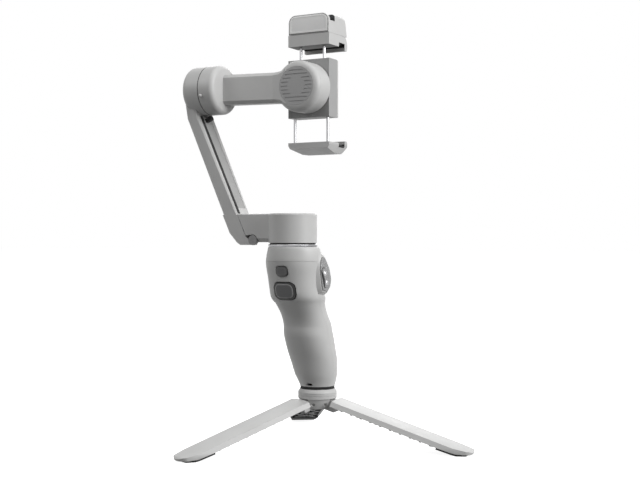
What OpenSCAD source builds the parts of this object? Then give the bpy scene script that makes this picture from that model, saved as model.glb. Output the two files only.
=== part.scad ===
// Three-axis handheld gimbal for a phone, standing on its folding mini tripod.
// The pan axis is vertical. X runs along the held phone, Y points to the user, Z is up.

/* [Phone held by the jaws] */
// Width of the phone, top edge to bottom edge
phone_w = 79.6; // [77:0.1:83]
// Thickness of the phone
phone_t = 8.1; // [7.2:0.1:9]

/* [Axes] */
// Height of the crossing tilt and roll axes above the pan motor
axis_rise = 99.1; // [96:0.1:103]
// Distance of the tripod's centre behind the pan axis
hub_y = 38.4; // [34:0.2:42]

/* [Tripod] */
// Radius of the circle that the leg tips lie on
tripod_r = 127; // [110:1:140]
// Turn of the first leg from the X axis
leg_turn = 6; // [0:1:20]
// Number of legs
leg_count = 3; // [3:1:3]
// Width of a leg over its lower edges
leg_w = 26.4; // [24:0.2:28]
// Width of a leg's flat top
leg_top_w = 23.4; // [20:0.2:23.6]
// Depth of a leg
leg_depth = 5; // [4:0.1:6]
// Wall of a leg
leg_wall = 1.6; // [1.2:0.1:2]
// Radius of the hub's ring
hub_r = 15.45; // [14.8:0.05:17]
// Height of the top of the hub
hub_top_z = 44.3; // [43:0.1:46]
// Radius of the leg pins
leg_pin_r = 1.3; // [1:0.05:1.6]

/* [Handle] */
// Greatest width of the handle
grip_w = 43.4; // [41:0.2:46]
// Height of the handle, base plate to pan ring
grip_h = 112.2; // [108:0.2:116]
// Wall of the handle's shells
grip_wall = 2.4; // [1.8:0.1:3]
// Width of the trigger
trigger_w = 18.2; // [16:0.1:20]
// Height of the trigger
trigger_h = 14.2; // [12:0.1:16]
// Width of the mode button above the trigger
mode_w = 9.6; // [8.6:0.1:12]
// Height of the mode button
mode_h = 7.8; // [7:0.1:9]
// Radius of the joystick's cap
stick_r = 5.2; // [4.6:0.1:5.6]

/* [Pan stage] */
// Radius of the pan motor's housing
pan_r = 18.6; // [18.2:0.1:19.4]
// Height of the pan motor's housing
pan_h = 22.5; // [21:0.1:24]
// Half of the short arm's depth
bar_half = 9.2; // [8.6:0.1:10]
// Distance of the folding hinge from the pan axis
hinge_x = 31; // [30:0.1:31.6]
// Radius of the hinge barrels
barrel_r = 3.9; // [3.6:0.1:4.4]
// Radius of the hinge pin
hinge_pin_r = 1.2; // [1:0.05:1.3]

/* [Folding arm] */
// Lean of the folding arm from the vertical
arm_lean = 24.8; // [23.8:0.1:25.8]
// Thickness of the folding arm
arm_t = 12.4; // [11.6:0.1:13]
// Half depth of the folding arm at its top
arm_half_top = 11.5; // [10:0.1:12.5]
// Radius of the tilt motor
tilt_r = 19.5; // [18.6:0.1:20]
// Distance of the tilt motor's outer end from the pan axis
tilt_out_x = 92.6; // [91:0.2:94]
// Distance of the tilt motor's split from the pan axis
tilt_split_x = 76; // [75:0.2:77]

/* [Roll arm and clamp] */
// Radius of the roll motor
roll_r = 20; // [19:0.1:20.6]
// Radius of the ribbed disc on the roll motor
disc_r = 15; // [13:0.1:15.4]
// Height of the roll arm's bar
roll_bar_h = 23.8; // [22:0.2:26]
// Width of the clamp block
block_w = 37; // [36:0.1:39]
// Height of the clamp block
block_h = 45.8; // [45:0.1:47]
// Depth of the clamp block without its back cover
block_d = 13.8; // [13.6:0.1:14.6]
// Radius of the jaw rods
rod_r = 1.2; // [1:0.05:1.3]
// Teeth on the pinion
pinion_teeth = 12; // [12:1:12]
// Size of the pinion's teeth, pitch diameter over tooth count
tooth_module = 0.8; // [0.76:0.01:0.82]

/* [Fill light] */
// Height of the light head
head_h = 15.2; // [14:0.1:17]

/* [Hidden] */
$fn = 64;
hull_fn = 32;

// Clearances shared by all pieces
run_gap = 0.05;
fit_gap = 0.1;
skin_gap = 0.3;
move_gap = 0.5;
over = 1;

// Colours
shell_grey = [0.66, 0.66, 0.65];
face_grey = [0.56, 0.56, 0.56];
dark_grey = [0.27, 0.27, 0.28];
rubber_black = [0.09, 0.09, 0.09];
steel = [0.75, 0.75, 0.76];
copper = [0.72, 0.45, 0.2];
board_green = [0.1, 0.35, 0.2];
lens_white = [0.86, 0.86, 0.84];

// Tripod
hub_ring_h = 7.5;
hub_bevel_h = 2.2;
hub_bevel_r = hub_r - 1.6;
hub_groove_w = 0.5;
hub_groove_share = [0.28, 0.52];
hub_groove_d = 0.35;
hub_ring_z = hub_top_z - hub_ring_h;
pillar_h = 7.9;
lap = 0.4;
pillar_top_r = hub_r - 0.55;
pillar_low_r = hub_r - 3.25;
slot_half = 5.6;
core_r = 5.4;
knuckle_r = 4.2;
tongue_half = slot_half - skin_gap;
pivot_r = 10.4;
pivot_z = hub_ring_z - knuckle_r - 0.4 * knuckle_r / 4.2;
leg_top = 6.4;
leg_crown = 1.2;
leg_start = 5.4;
tip_z = 3.7;
tip_len = 26;
tip_w = 9;
tip_lift = 1.4;
leg_reach = tripod_r - pivot_r;
leg_slope = atan((pivot_z + leg_top - tip_z) / leg_reach);
leg_len = leg_reach / cos(leg_slope);
leg_low = leg_top - leg_depth;
leg_pin_half = 7.2;
leg_tip_x = leg_len - tip_len * 0.42;
leg_tip_low = leg_top - tip_lift * 1.9;
liner_rib = 1.8;
liner_pitch = 8.4;
liner_proud = 1.5;
foot_len = 26;
foot_end = 3;
foot_drop = 1.6;
pad_h = 0.7;
screw_r = 3.1;
screw_h = 11;

// Handle
base_z = hub_top_z + pad_h;
base_plate_h = 1.6;
insert_r = 6;
insert_h = 9;
seam_share = 0.9;
seam_z = base_z + grip_h * seam_share;
collar_z = base_z + grip_h;
grip_sides = 40;
grip_steps = 2;
// Each row: height, lean, half width, front depth, rear depth, squareness, fullness of the right side
grip_shares = [
    [0, 1, 0.615, 0.615, 0.615, 0, 0],
    [0.045, 0.985, 0.69, 0.69, 0.70, 0, 0],
    [0.095, 0.94, 0.765, 0.77, 0.775, 0.1, 0],
    [0.189, 0.862, 0.822, 0.83, 0.84, 0.3, 0],
    [0.257, 0.776, 0.842, 0.85, 0.86, 0.5, 0],
    [0.368, 0.650, 0.850, 0.885, 0.87, 0.6, 0],
    [0.424, 0.610, 0.832, 0.875, 0.86, 0.6, 0],
    [0.4545, 0.583, 0.822, 0.835, 0.86, 0.6, 0],
    [0.5035, 0.500, 0.802, 0.790, 0.84, 0.6, 0],
    [0.5525, 0.401, 0.802, 0.780, 0.83, 0.6, 0],
    [0.6095, 0.297, 0.845, 0.845, 0.85, 0.6, 0],
    [0.6415, 0.237, 0.918, 0.945, 0.91, 0.6, 0],
    [0.677, 0.185, 0.925, 0.955, 0.93, 0.6, 0],
    [0.731, 0.138, 0.920, 0.945, 0.94, 0.6, 0],
    [0.793, 0.100, 0.935, 0.950, 0.95, 0.5, 0.01],
    [0.847, 0.070, 0.962, 0.970, 0.965, 0.4, 0.02],
    [0.9, 0.045, 1, 1, 1, 0, 0.02],
    [0.949, 0.028, 0.955, 0.955, 0.955, 0, 0.05],
    [0.984, 0.009, 0.9, 0.9, 0.9, 0, 0.07],
    [1, 0, 0.868, 0.868, 0.868, 0, 0.05]
];
grip_last = len(grip_shares) - 1;
square_gain = 0.6;
panel_share = 0.775;
trigger_share = 0.699;
mode_share = 0.836;
front_tilt = 15.5;
front_shift = 0.9;
cap_proud = 0.9;
cap_depth = 5.2;
press_travel = 1;
groove_w = 0.45;
corner_share = 0.36;
strap_w = 5;
strap_h = 2.4;
strap_share = 0.03;

// Side panel with the zoom rocker
bezel_out = 1.2;
bezel_x = grip_w / 2 + bezel_out;
panel_proud = 0.9;
panel_z = base_z + grip_h * 0.695;
panel_h = grip_h * 0.238;
panel_w = 16.5;
// Outline of the side panel, shares of its width and height
panel_outline_shares = [
    [0.20, 1], [0.36, 0.985], [0.56, 0.86], [0.82, 0.66], [0.97, 0.42], [1, 0.32], [0.93, 0.15],
    [0.66, 0], [0.26, 0.03], [0.16, 0.16], [0.08, 0.38], [0, 0.64], [0.05, 0.85]
];
rocker_w = 5;
rocker_h = 15.2;
rocker_y_share = 0.37;
rocker_z_share = 0.39;
rocker_proud = 2.2;
rocker_lean = -20;
rocker_swing = 4;
bump_r = 1.9;

// Control panel on the user's side
deck_w = 19;
deck_h = grip_h * 0.276;
deck_share = 0.758;
deck_tilt = 10;
deck_t = 1.4;
stick_share = 0.22;
record_share = -0.17;
power_share = -0.4;
record_r = 3;
power_w = 6;
power_h = 2.6;
light_count = 4;
light_r = 0.55;
light_pitch = 2.6;
stick_swing = 12;
stick_clear = 2;
stick_ball_r = 3.1;
stick_stem_r = 1.7;
port_w = 9.2;
port_h = 3.4;
port_share = 0.8;

// Pan stage
ring_h = 2;
ring_r = pan_r + 0.3;
pan_gap = 1;
pan_z = collar_z + ring_h + pan_gap;
pan_top = pan_z + pan_h;
axis_z = pan_top + axis_rise;
pan_wall = 2;
pan_lid_h = 2.6;
pan_floor_h = 1.8;
post_r = 5;
bearing_r = 7.4;
bearing_h = 3.2;
stator_r = 12.6;
stator_h = 9;
magnet_t = 2.4;
stator_slots = 9;
bar_z_inset = 0.5;
bar_round = 3;
hinge_z = pan_z + 2.1;
split_gap = 0.3;
lug_half = 4.2;
relief_x = 38.5;
relief_half = 6.4;

// Folding arm
elbow_run = 14.2;
arm_origin_x = hinge_x + elbow_run;
arm_taper = 2.2;
arm_origin_z = pan_top - 0.6;
arm_edge = 1;
arm_len = (axis_z - arm_origin_z) / cos(arm_lean);
slot_w = 2.8;
grommet_half = 2;
slot_from_edge = 2.9;
channel_d = 5.6;
cover_t = 1.8;
blend_share = 0.82;
blend_run = 5;
can_wall = 2.2;
can_round = 5;
tilt_nub_r = 1.3;
shaft_r = 4;
tilt_cap_len = 13.6;
cap_round = 4;

// Roll arm
front_y = 4.5;
bar_t = 11.4;
bar_bend_x = 21;
bar_drop = 11.6;
bar_chamfer = 2.6;
roll_back_y = 23.4;
roll_edge = 5.2;
disc_t = 1.6;
disc_rib_w = 0.9;
disc_rib_d = 0.45;
disc_rib_count = 9;
neck_shares = [[0, 0], [0.45, 0.12], [0.75, 0.42], [1, 1]];
neck_len = 11.5;
neck_rise = 4.6;

// Clamp
block_y = roll_back_y + 0.6;
block_back_y = block_y + block_d;
cover_d = 1.6;
pad_t = 1.2;
phone_y = block_back_y + cover_d + pad_t + skin_gap;
block_edge = 1;
front_wall = 2.9;
side_wall = 1.7;
end_wall = 1.6;
guide_h = 7.2;
upper_rod_in = 6.6;
lower_rod_in = 4.6;
upper_rod_y = block_y + upper_rod_in;
lower_rod_y = block_y + lower_rod_in;
layer_y = block_y + front_wall;
layer_t = 6.4;
upper_rod_x = 10.6;
lower_rod_x = 14.9;
jaw_w = block_w + 0.2;
jaw_d = 30;
jaw_back_y = block_y + jaw_d;
upper_jaw_h = 9.2;
lower_jaw_h = 8.2;
jaw_lip = 1.9;
groove_depth = 3.4;
groove_margin = 0.9;
jaw_edge = 3.6;
jaw_front_drop = 3.4;
phone_drop = 3.7;
upper_seat = 2.3;
lower_seat = 1.1;
rod_seat = 5;
rod_hidden = 31;
jaw_close = phone_w / 2 - phone_drop - upper_seat - block_h / 2 - move_gap;
jaw_open = 5;
pitch_r = tooth_module * pinion_teeth / 2;
tooth_pitch = PI * tooth_module;
mesh_play = 0.16;
gear_y = block_back_y - 3.6;
gear_t = 2.8;
hub_pin_r = 1.6;
rack_t = 2.2;
carrier_h = 5;
nub_r = 1.2;
nub_proud = 1.6;
nub_x = 2.7;

// Fill light
head_gap = 0.3;
head_round = 6;
head_inset = 0.5;
head_groove_y = 2.6;
head_groove_w = 5.6;
head_groove_d = 5.4;
frost_inset = 1.5;
frost_t = 1.2;
light_pin_r = 4;
light_pin_h = 3.4;

// Centre of the whole part's footprint, seen from above
reach_right = tripod_r * cos(leg_turn);
origin_x = (reach_right - tilt_out_x) / 2;
reach_rear = hub_y + tripod_r * sin(leg_turn + 120);
reach_front = hub_y + tripod_r * sin(leg_turn + 240);
origin_y = (reach_rear + reach_front) / 2;

// Smooth curve through four neighbouring values
function bend(a, b, c, d, u) = b
    + 0.5 * u * (c - a + u * (2 * a - 5 * b + 4 * c - d + u * (3 * (b - c) + d - a)));
function held(i) = min(max(i, 0), grip_last);
function row_share(i, u, k) = bend(
    grip_shares[held(i - 1)][k], grip_shares[held(i)][k],
    grip_shares[held(i + 1)][k], grip_shares[held(i + 2)][k], u);
function straight(i, u, k) = grip_shares[i][k] + u * (grip_shares[held(i + 1)][k] - grip_shares[i][k]);
function signed_pow(v, p) = sign(v) * pow(abs(v), p);

// Ring of points round the handle at a station, grown outwards by some millimetres
function grip_ring(i, u, grow) = let(
    z = base_z + grip_h * straight(i, u, 0),
    y = hub_y * row_share(i, u, 1),
    half = grip_w / 2,
    left = half * row_share(i, u, 2) + grow,
    right = left + half * row_share(i, u, 6),
    front = half * row_share(i, u, 3) + grow,
    rear = half * row_share(i, u, 4) + grow,
    p = 2 / (2 + square_gain * row_share(i, u, 5))
) [for (k = [0:grip_sides - 1]) let(a = 360 * k / grip_sides) [
    (cos(a) < 0 ? left : right) * signed_pow(cos(a), p),
    y + (sin(a) < 0 ? front : rear) * signed_pow(sin(a), p),
    z
]];

function grip_mid_y(share) = hub_y * lookup(share, [for (r = grip_shares) [r[0], r[1]]]);
function grip_front_y(share) = grip_mid_y(share)
    - grip_w / 2 * lookup(share, [for (r = grip_shares) [r[0], r[3]]]);
function grip_rear_y(share) = grip_mid_y(share)
    + grip_w / 2 * lookup(share, [for (r = grip_shares) [r[0], r[4]]]);
function grip_side_x(share) = grip_w / 2 * lookup(share, [for (r = grip_shares) [r[0], r[2]]]);

module placed() {
    translate([-origin_x, -origin_y, 0]) children();
}

module along_y(y0, y1) {
    translate([0, y1, 0]) rotate([90, 0, 0]) linear_extrude(y1 - y0) children();
}

module along_x(x0, x1) {
    translate([x0, 0, 0]) rotate([90, 0, 90]) linear_extrude(x1 - x0) children();
}

module rod_along_y(r, y0, y1) {
    translate([0, y0, 0]) rotate([-90, 0, 0]) cylinder(r = r, h = y1 - y0);
}

module rod_along_x(r, x0, x1) {
    translate([x0, 0, 0]) rotate([0, 90, 0]) cylinder(r = r, h = x1 - x0);
}

module rounded_rect(w, h, r) {
    for (sx = [-1, 1], sy = [-1, 1]) translate([sx * (w / 2 - r), sy * (h / 2 - r)]) circle(r);
    square([w - 2 * r, h], center = true);
    square([w, h - 2 * r], center = true);
}

module ring(outer, inner, h) {
    difference() {
        cylinder(r = outer, h = h);
        translate([0, 0, -over]) cylinder(r = inner, h = h + 2 * over);
    }
}

// Handle, as one closed lofted body
module grip_body(grow = 0, steps = grip_steps, ends = 0) {
    rows = [for (i = [0:grip_last - 1], s = [0:steps - 1]) grip_ring(i, s / steps, grow)];
    rings = concat(rows, [grip_ring(grip_last, 0, grow)]);
    n = len(rings);
    points = [for (r = rings, q = r) q];
    side_faces = [
        for (i = [0:n - 2], k = [0:grip_sides - 1])
            let(a = i * grip_sides + k, b = i * grip_sides + (k + 1) % grip_sides)
                each [[a, a + grip_sides, b], [b, a + grip_sides, b + grip_sides]]
    ];
    low_cap = [[for (k = [0:grip_sides - 1]) k]];
    high_cap = [[for (k = [grip_sides - 1:-1:0]) (n - 1) * grip_sides + k]];
    polyhedron(points = points, faces = concat(side_faces, low_cap, high_cap));
}

module grip_inside() {
    grip_body(-grip_wall, 1);
}

// Space in front of the seam that runs down both sides of the handle
module front_space(extra = 0) {
    seam = [for (r = grip_shares) [hub_y * r[1] - extra, base_z + grip_h * r[0]]];
    far = -grip_w * 2;
    along_x(-grip_w, grip_w) polygon(concat(
        [[far, base_z - over]], [[seam[0][0], base_z - over]], seam,
        [[seam[grip_last][0], collar_z + over]], [[far, collar_z + over]]));
}

module between_z(z0, z1) {
    translate([-grip_w, -grip_w * 2, z0]) cube([grip_w * 2, grip_w * 4, z1 - z0]);
}

module on_front(share) {
    translate([front_shift, grip_front_y(share), base_z + grip_h * share])
        rotate([90 + front_tilt, 0, 0]) children();
}

module on_deck(share = 0) {
    translate([0, grip_rear_y(deck_share), base_z + grip_h * deck_share])
        rotate([deck_tilt - 90, 0, 0]) translate([0, -deck_h * share, 0]) children();
}

module on_side() {
    translate([0, grip_mid_y(panel_share) - panel_w * 0.15, panel_z]) children();
}

module panel_outline(grow = 0) {
    offset(delta = grow) polygon([for (q = panel_outline_shares) [q[0] * panel_w, q[1] * panel_h]]);
}

module front_pocket(share, w, h, gap) {
    on_front(share) translate([0, 0, -cap_depth - press_travel - over])
        linear_extrude(cap_depth * 2 + over) rounded_rect(w + 2 * gap, h + 2 * gap, h * corner_share + gap);
}

module side_outline_space(grow, x0, x1) {
    on_side() along_x(x0, x1) panel_outline(grow);
}

module deck_outline_space(grow, z0, z1) {
    on_deck() translate([0, 0, z0]) linear_extrude(z1 - z0)
        rounded_rect(deck_w + 2 * grow, deck_h + 2 * grow, deck_w * corner_share);
}

module port_space(grow) {
    translate([-grip_w, grip_mid_y(port_share), base_z + grip_h * port_share]) rotate([90, 0, 90])
        linear_extrude(grip_w) rounded_rect(port_h + 2 * grow, port_w + 2 * grow, port_h * 0.45);
}

module grip_cutouts() {
    front_pocket(trigger_share, trigger_w, trigger_h, groove_w);
    front_pocket(mode_share, mode_w, mode_h, groove_w);
    deck_outline_space(fit_gap, -deck_t * 3, deck_w);
    port_space(1);
    on_front(strap_share) translate([0, 0, -grip_wall * 2]) linear_extrude(grip_wall * 4)
        rounded_rect(strap_w, strap_h, strap_h * 0.45);
}

module grip_front() {
    color(shell_grey) placed() difference() {
        intersection() {
            grip_body();
            front_space();
            between_z(base_z + base_plate_h, seam_z);
        }
        grip_inside();
        grip_cutouts();
    }
}

module grip_rear() {
    color(shell_grey) placed() difference() {
        intersection() {
            grip_body();
            between_z(base_z + base_plate_h, seam_z);
        }
        front_space();
        grip_inside();
        grip_cutouts();
    }
}

module grip_collar() {
    color(shell_grey) placed() difference() {
        intersection() {
            grip_body();
            between_z(seam_z, collar_z);
        }
        intersection() {
            grip_inside();
            between_z(seam_z - over, collar_z - grip_wall);
        }
        cylinder(r = post_r + fit_gap, h = pan_z);
    }
}

module base_plate() {
    color(dark_grey) placed() difference() {
        intersection() {
            grip_body();
            between_z(base_z, base_z + base_plate_h);
        }
        translate([0, hub_y, 0]) cylinder(r = insert_r, h = base_z * 2);
    }
}

module socket_insert() {
    color("goldenrod") placed() translate([0, hub_y, base_z]) ring(insert_r, screw_r + run_gap, insert_h);
}

module pan_ring() {
    color(steel) placed() translate([0, 0, collar_z]) rotate_extrude() polygon([
        [post_r + fit_gap, 0], [ring_r - ring_h * 0.2, 0], [ring_r, ring_h * 0.25],
        [ring_r, ring_h * 0.75], [ring_r - ring_h * 0.25, ring_h], [post_r + fit_gap, ring_h]
    ]);
}

// Cell axis runs up the slanted handle
cell_r = grip_w * 0.21;
cell_len = grip_h * 0.58;
cell_start_share = 0.165;
cell_end_share = 0.66;
cell_y0 = grip_mid_y(cell_start_share);
cell_z0 = base_z + grip_h * cell_start_share;
cell_y1 = grip_mid_y(cell_end_share);
cell_z1 = base_z + grip_h * cell_end_share;
cell_tilt = atan((cell_y0 - cell_y1) / (cell_z1 - cell_z0));

module along_cell() {
    translate([0, cell_y0, cell_z0]) rotate([cell_tilt, 0, 0]) children();
}

module battery() {
    color("steelblue") placed() along_cell() {
        cylinder(r = cell_r, h = cell_len);
        translate([0, 0, cell_len]) cylinder(r = cell_r * 0.35, h = cap_proud);
    }
}

module battery_frame() {
    rib_t = grip_wall;
    color(dark_grey) placed() difference() {
        intersection() {
            grip_body(-grip_wall, 1);
            along_cell() for (s = [0.22, 0.72]) translate([-grip_w, -grip_w, cell_len * s])
                cube([grip_w * 2, grip_w * 2, rib_t]);
        }
        along_cell() translate([0, 0, -cell_len]) cylinder(r = cell_r, h = cell_len * 3);
    }
}

board_t = 1.6;
frame_t = 2;
frame_plate_z = seam_z + grip_wall;
board_y = grip_mid_y(deck_share) + cell_r * 0.55;
board_low_z = base_z + grip_h * 0.735;

// Cross plate under the pan motor and the web that carries the board
module inner_frame() {
    color(dark_grey) placed() difference() {
        union() {
            intersection() {
                grip_body(-grip_wall, 1);
                between_z(frame_plate_z, frame_plate_z + frame_t);
            }
            translate([-grip_w * 0.28, board_y, board_low_z])
                cube([grip_w * 0.56, frame_t, frame_plate_z - board_low_z + frame_t / 2]);
        }
        cylinder(r = post_r, h = pan_z);
    }
}

module main_board() {
    h = frame_plate_z - board_low_z - frame_t * 2;
    color(board_green) placed() translate([-grip_w * 0.26, board_y - board_t, board_low_z + frame_t]) {
        cube([grip_w * 0.52, board_t, h]);
        for (k = [0, 1, 2]) translate([grip_w * (0.04 + 0.16 * k), -board_t * 0.6, h * (0.1 + 0.28 * k)])
            cube([grip_w * 0.1, board_t * 0.6, h * 0.24]);
    }
}

module stator(outer, inner, h) {
    difference() {
        ring(outer, inner, h);
        for (k = [0:stator_slots - 1]) rotate([0, 0, 360 * k / stator_slots])
            translate([outer * 0.52, -outer * 0.09, -over]) cube([outer, outer * 0.18, h + 2 * over]);
    }
}

module pan_stator() {
    stator_z = pan_z + pan_floor_h + bearing_h;
    color(copper) placed() difference() {
        union() {
            translate([0, 0, stator_z]) stator(stator_r, post_r - over, stator_h);
            translate([0, 0, frame_plate_z]) cylinder(r = post_r, h = stator_z + stator_h - frame_plate_z);
        }
        translate([0, 0, frame_plate_z - over]) cylinder(r = post_r * 0.5, h = pan_top - frame_plate_z);
    }
}

module pan_bearing() {
    color(steel) placed() translate([0, 0, pan_z + run_gap]) ring(bearing_r, post_r, bearing_h);
}

module side_bezel() {
    color(shell_grey) placed() difference() {
        side_outline_space(over, 0, bezel_x);
        side_outline_space(fit_gap, bezel_x - panel_proud * 1.2, grip_w);
        grip_body();
    }
}

module on_rocker() {
    on_side() translate([bezel_x, panel_w * rocker_y_share, panel_h * rocker_z_share])
        rotate([-rocker_lean, 0, 0]) children();
}

module rocker_outline(grow = 0) {
    rounded_rect(rocker_w + 2 * grow, rocker_h + 2 * grow, rocker_w * 0.42 + grow);
}

module side_panel() {
    color(dark_grey) placed() difference() {
        side_outline_space(0, bezel_x - panel_proud * 1.2, bezel_x + panel_proud);
        on_rocker() along_x(-panel_proud * 0.7, grip_w) rocker_outline(move_gap);
    }
}

module zoom_rocker() {
    crown_r = rocker_h * 1.6;
    half = rocker_h / 2 + over;
    low = -panel_proud * 0.35;
    rise = half * tan(rocker_swing + 1);
    color(rubber_black) placed() on_rocker() union() {
        intersection() {
            along_x(low, rocker_proud) rocker_outline();
            translate([rocker_proud - crown_r, 0, 0]) rod_along_y(crown_r, -rocker_w, rocker_w);
            along_y(-rocker_w, rocker_w) polygon([
                [low + rise, -half], [rocker_proud + over, -half], [rocker_proud + over, half],
                [low + rise, half], [low, 0]
            ]);
        }
        for (s = [-1, 1]) translate([rocker_proud * 0.6, 0, s * rocker_h * 0.24])
            scale([0.75, 1, 1]) sphere(r = bump_r, $fn = 24);
    }
}

module control_panel() {
    color(dark_grey) placed() intersection() {
        on_deck(stick_share) difference() {
            translate([0, 0, -well_z]) cylinder(r = well_r, h = well_z + deck_t);
            translate([0, 0, -well_z + stick_ball_r * 0.8])
                cylinder(r = stick_r + stick_clear, h = well_z * 2);
            translate([0, 0, -well_z - over]) cylinder(r = cradle_r + skin_gap * 1.5, h = well_z);
            translate([0, 0, -cradle_z]) rod_along_x(cradle_pin_r + run_gap, -well_r - over, well_r + over);
        }
        grip_body(0);
    }
    color(dark_grey) placed() difference() {
        intersection() {
            deck_outline_space(0, -deck_t * 3, deck_w);
            grip_body(cap_proud * 0.3);
        }
        grip_body(-deck_t);
        on_deck(stick_share) translate([0, 0, -deck_w]) cylinder(r = stick_r + stick_clear, h = deck_w * 2);
        on_deck(record_share) translate([0, 0, -deck_w]) cylinder(r = record_r + skin_gap, h = deck_w * 2);
        on_deck(power_share) translate([0, 0, -deck_w]) linear_extrude(deck_w * 2)
            rounded_rect(power_w + 2 * skin_gap, power_h + 2 * skin_gap, power_h * 0.45 + skin_gap);
        for (k = [0:light_count - 1]) on_deck(light_share(k)[1]) translate([light_share(k)[0], 0, -deck_w])
            cylinder(r = light_r + run_gap, h = deck_w * 2, $fn = 24);
    }
}

function light_share(k) = [(k - (light_count - 1) / 2) * light_pitch, (record_share + power_share) / 2];

module indicator_lights() {
    color(lens_white) placed() for (k = [0:light_count - 1]) intersection() {
        on_deck(light_share(k)[1]) translate([light_share(k)[0], 0, -deck_t * 2])
            cylinder(r = light_r, h = deck_t * 4, $fn = 24);
        grip_body(cap_proud * 0.3);
    }
}

module charging_port() {
    color(steel) placed() difference() {
        intersection() {
            port_space(1 - fit_gap);
            grip_body(0);
        }
        grip_body(-cap_depth * 1.6, 1);
        intersection() {
            port_space(0);
            translate([-grip_w, 0, 0]) cube([grip_w * 2, grip_w, pan_z]);
        }
    }
}

// Cap of a front button, curved like the handle and standing a little proud
module front_cap(share, w, h) {
    difference() {
        intersection() {
            on_front(share) translate([0, 0, -cap_depth]) linear_extrude(cap_depth * 2)
                rounded_rect(w, h, h * corner_share);
            grip_body(cap_proud);
        }
        grip_body(-cap_depth * 0.7, 1);
    }
}

module trigger() {
    color(dark_grey) placed() front_cap(trigger_share, trigger_w, trigger_h);
}

module mode_button() {
    color(dark_grey) placed() front_cap(mode_share, mode_w, mode_h);
}

cradle_r = stick_r * 0.92;
cradle_h = stick_ball_r * 0.7;
cradle_z = stick_ball_r * 1.75;
cradle_pin_r = 0.6;
well_z = cradle_z + cradle_h / 2 + skin_gap;
well_r = stick_r + stick_clear + deck_t;

// Tilting ring round the joystick's ball, hung on two small pins
module joystick_cradle() {
    color(dark_grey) placed() on_deck(stick_share) {
        translate([0, 0, -cradle_z - cradle_h / 2]) ring(cradle_r, stick_ball_r + run_gap, cradle_h);
        for (s = [-1, 1]) scale([s, 1, 1]) translate([0, 0, -cradle_z])
            rod_along_x(cradle_pin_r, cradle_r - skin_gap, well_r - skin_gap);
    }
}

module joystick_cap() {
    color(rubber_black) placed() on_deck(stick_share) {
        translate([0, 0, deck_t]) rotate_extrude() polygon([
            [0, -cap_proud], [stick_r * 0.55, -cap_proud], [stick_r, 0], [stick_r, cap_proud],
            [stick_r * 0.86, cap_proud * 1.8], [stick_r * 0.5, cap_proud * 1.5], [0, cap_proud * 1.3]
        ]);
        translate([0, 0, -cradle_z]) cylinder(r = stick_stem_r, h = cradle_z + deck_t);
        translate([0, 0, -cradle_z]) sphere(r = stick_ball_r, $fn = 32);
    }
}

module record_button() {
    color("firebrick") placed() on_deck(record_share) translate([0, 0, -deck_t * 2.6])
        cylinder(r = record_r, h = deck_t * 2.6 + cap_proud * 0.6);
}

module power_button() {
    color(dark_grey) placed() on_deck(power_share) translate([0, 0, -deck_t * 2.6])
        linear_extrude(deck_t * 2.6 + cap_proud * 0.6) rounded_rect(power_w, power_h, power_h * 0.45);
}

// Plan of the three pillars, with a round core between the slots
module pillar_plan() {
    difference() {
        circle(r = hub_r);
        for (k = [0:leg_count - 1]) rotate(leg_turn + 360 * k / leg_count) translate([0, -slot_half])
            square([hub_r * 2, slot_half * 2]);
    }
    circle(r = core_r);
}

// Ring of the hub with the three forked pillars that carry the legs
module tripod_hub() {
    color(shell_grey) placed() translate([0, hub_y, 0]) difference() {
        union() {
            difference() {
                union() {
                    translate([0, 0, hub_ring_z]) cylinder(r = hub_r, h = hub_ring_h - hub_bevel_h);
                    translate([0, 0, hub_top_z - hub_bevel_h])
                        cylinder(r1 = hub_r, r2 = hub_bevel_r, h = hub_bevel_h);
                }
                for (s = hub_groove_share) translate([0, 0, hub_ring_z + hub_ring_h * s])
                    ring(hub_r + over, hub_r - hub_groove_d, hub_groove_w);
            }
            intersection() {
                translate([0, 0, hub_ring_z - pillar_h]) linear_extrude(pillar_h + lap) pillar_plan();
                translate([0, 0, hub_ring_z - pillar_h])
                    cylinder(r1 = pillar_low_r, r2 = pillar_top_r, h = pillar_h + lap);
            }
        }
        for (k = [0:leg_count - 1]) rotate([0, 0, leg_turn + 360 * k / leg_count])
            translate([pivot_r, 0, pivot_z]) rod_along_y(leg_pin_r, -hub_r, hub_r);
        translate([0, 0, hub_top_z - screw_h * 0.4]) cylinder(r = screw_r, h = screw_h);
    }
}

module hub_pad() {
    color(rubber_black) placed() translate([0, hub_y, hub_top_z]) ring(hub_bevel_r - fit_gap, screw_r, pad_h);
}

module tripod_screw() {
    color(steel) placed() translate([0, hub_y, hub_top_z - screw_h * 0.4]) cylinder(r = screw_r, h = screw_h);
}

module leg_place(k) {
    translate([0, hub_y, 0]) rotate([0, 0, leg_turn + 360 * k / leg_count])
        translate([pivot_r, 0, pivot_z]) rotate([0, leg_slope, 0]) children();
}

module leg_pins() {
    color(steel) placed() for (k = [0:leg_count - 1]) leg_place(k)
        rod_along_y(leg_pin_r, -leg_pin_half, leg_pin_half);
}

// Plan of a leg, narrowing to a rounded tip
module leg_plan(half, inset = 0) {
    a = leg_len - tip_len;
    hull() {
        translate([leg_start + inset, -half + inset]) square([a - leg_start - inset, (half - inset) * 2]);
        translate([leg_len - tip_w * 0.62, 0]) scale([0.62, 1]) circle(r = tip_w - inset, $fn = hull_fn);
        translate([leg_len - tip_len * 0.55, 0]) square([over, (half - inset) * 1.78], center = true);
    }
}

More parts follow.
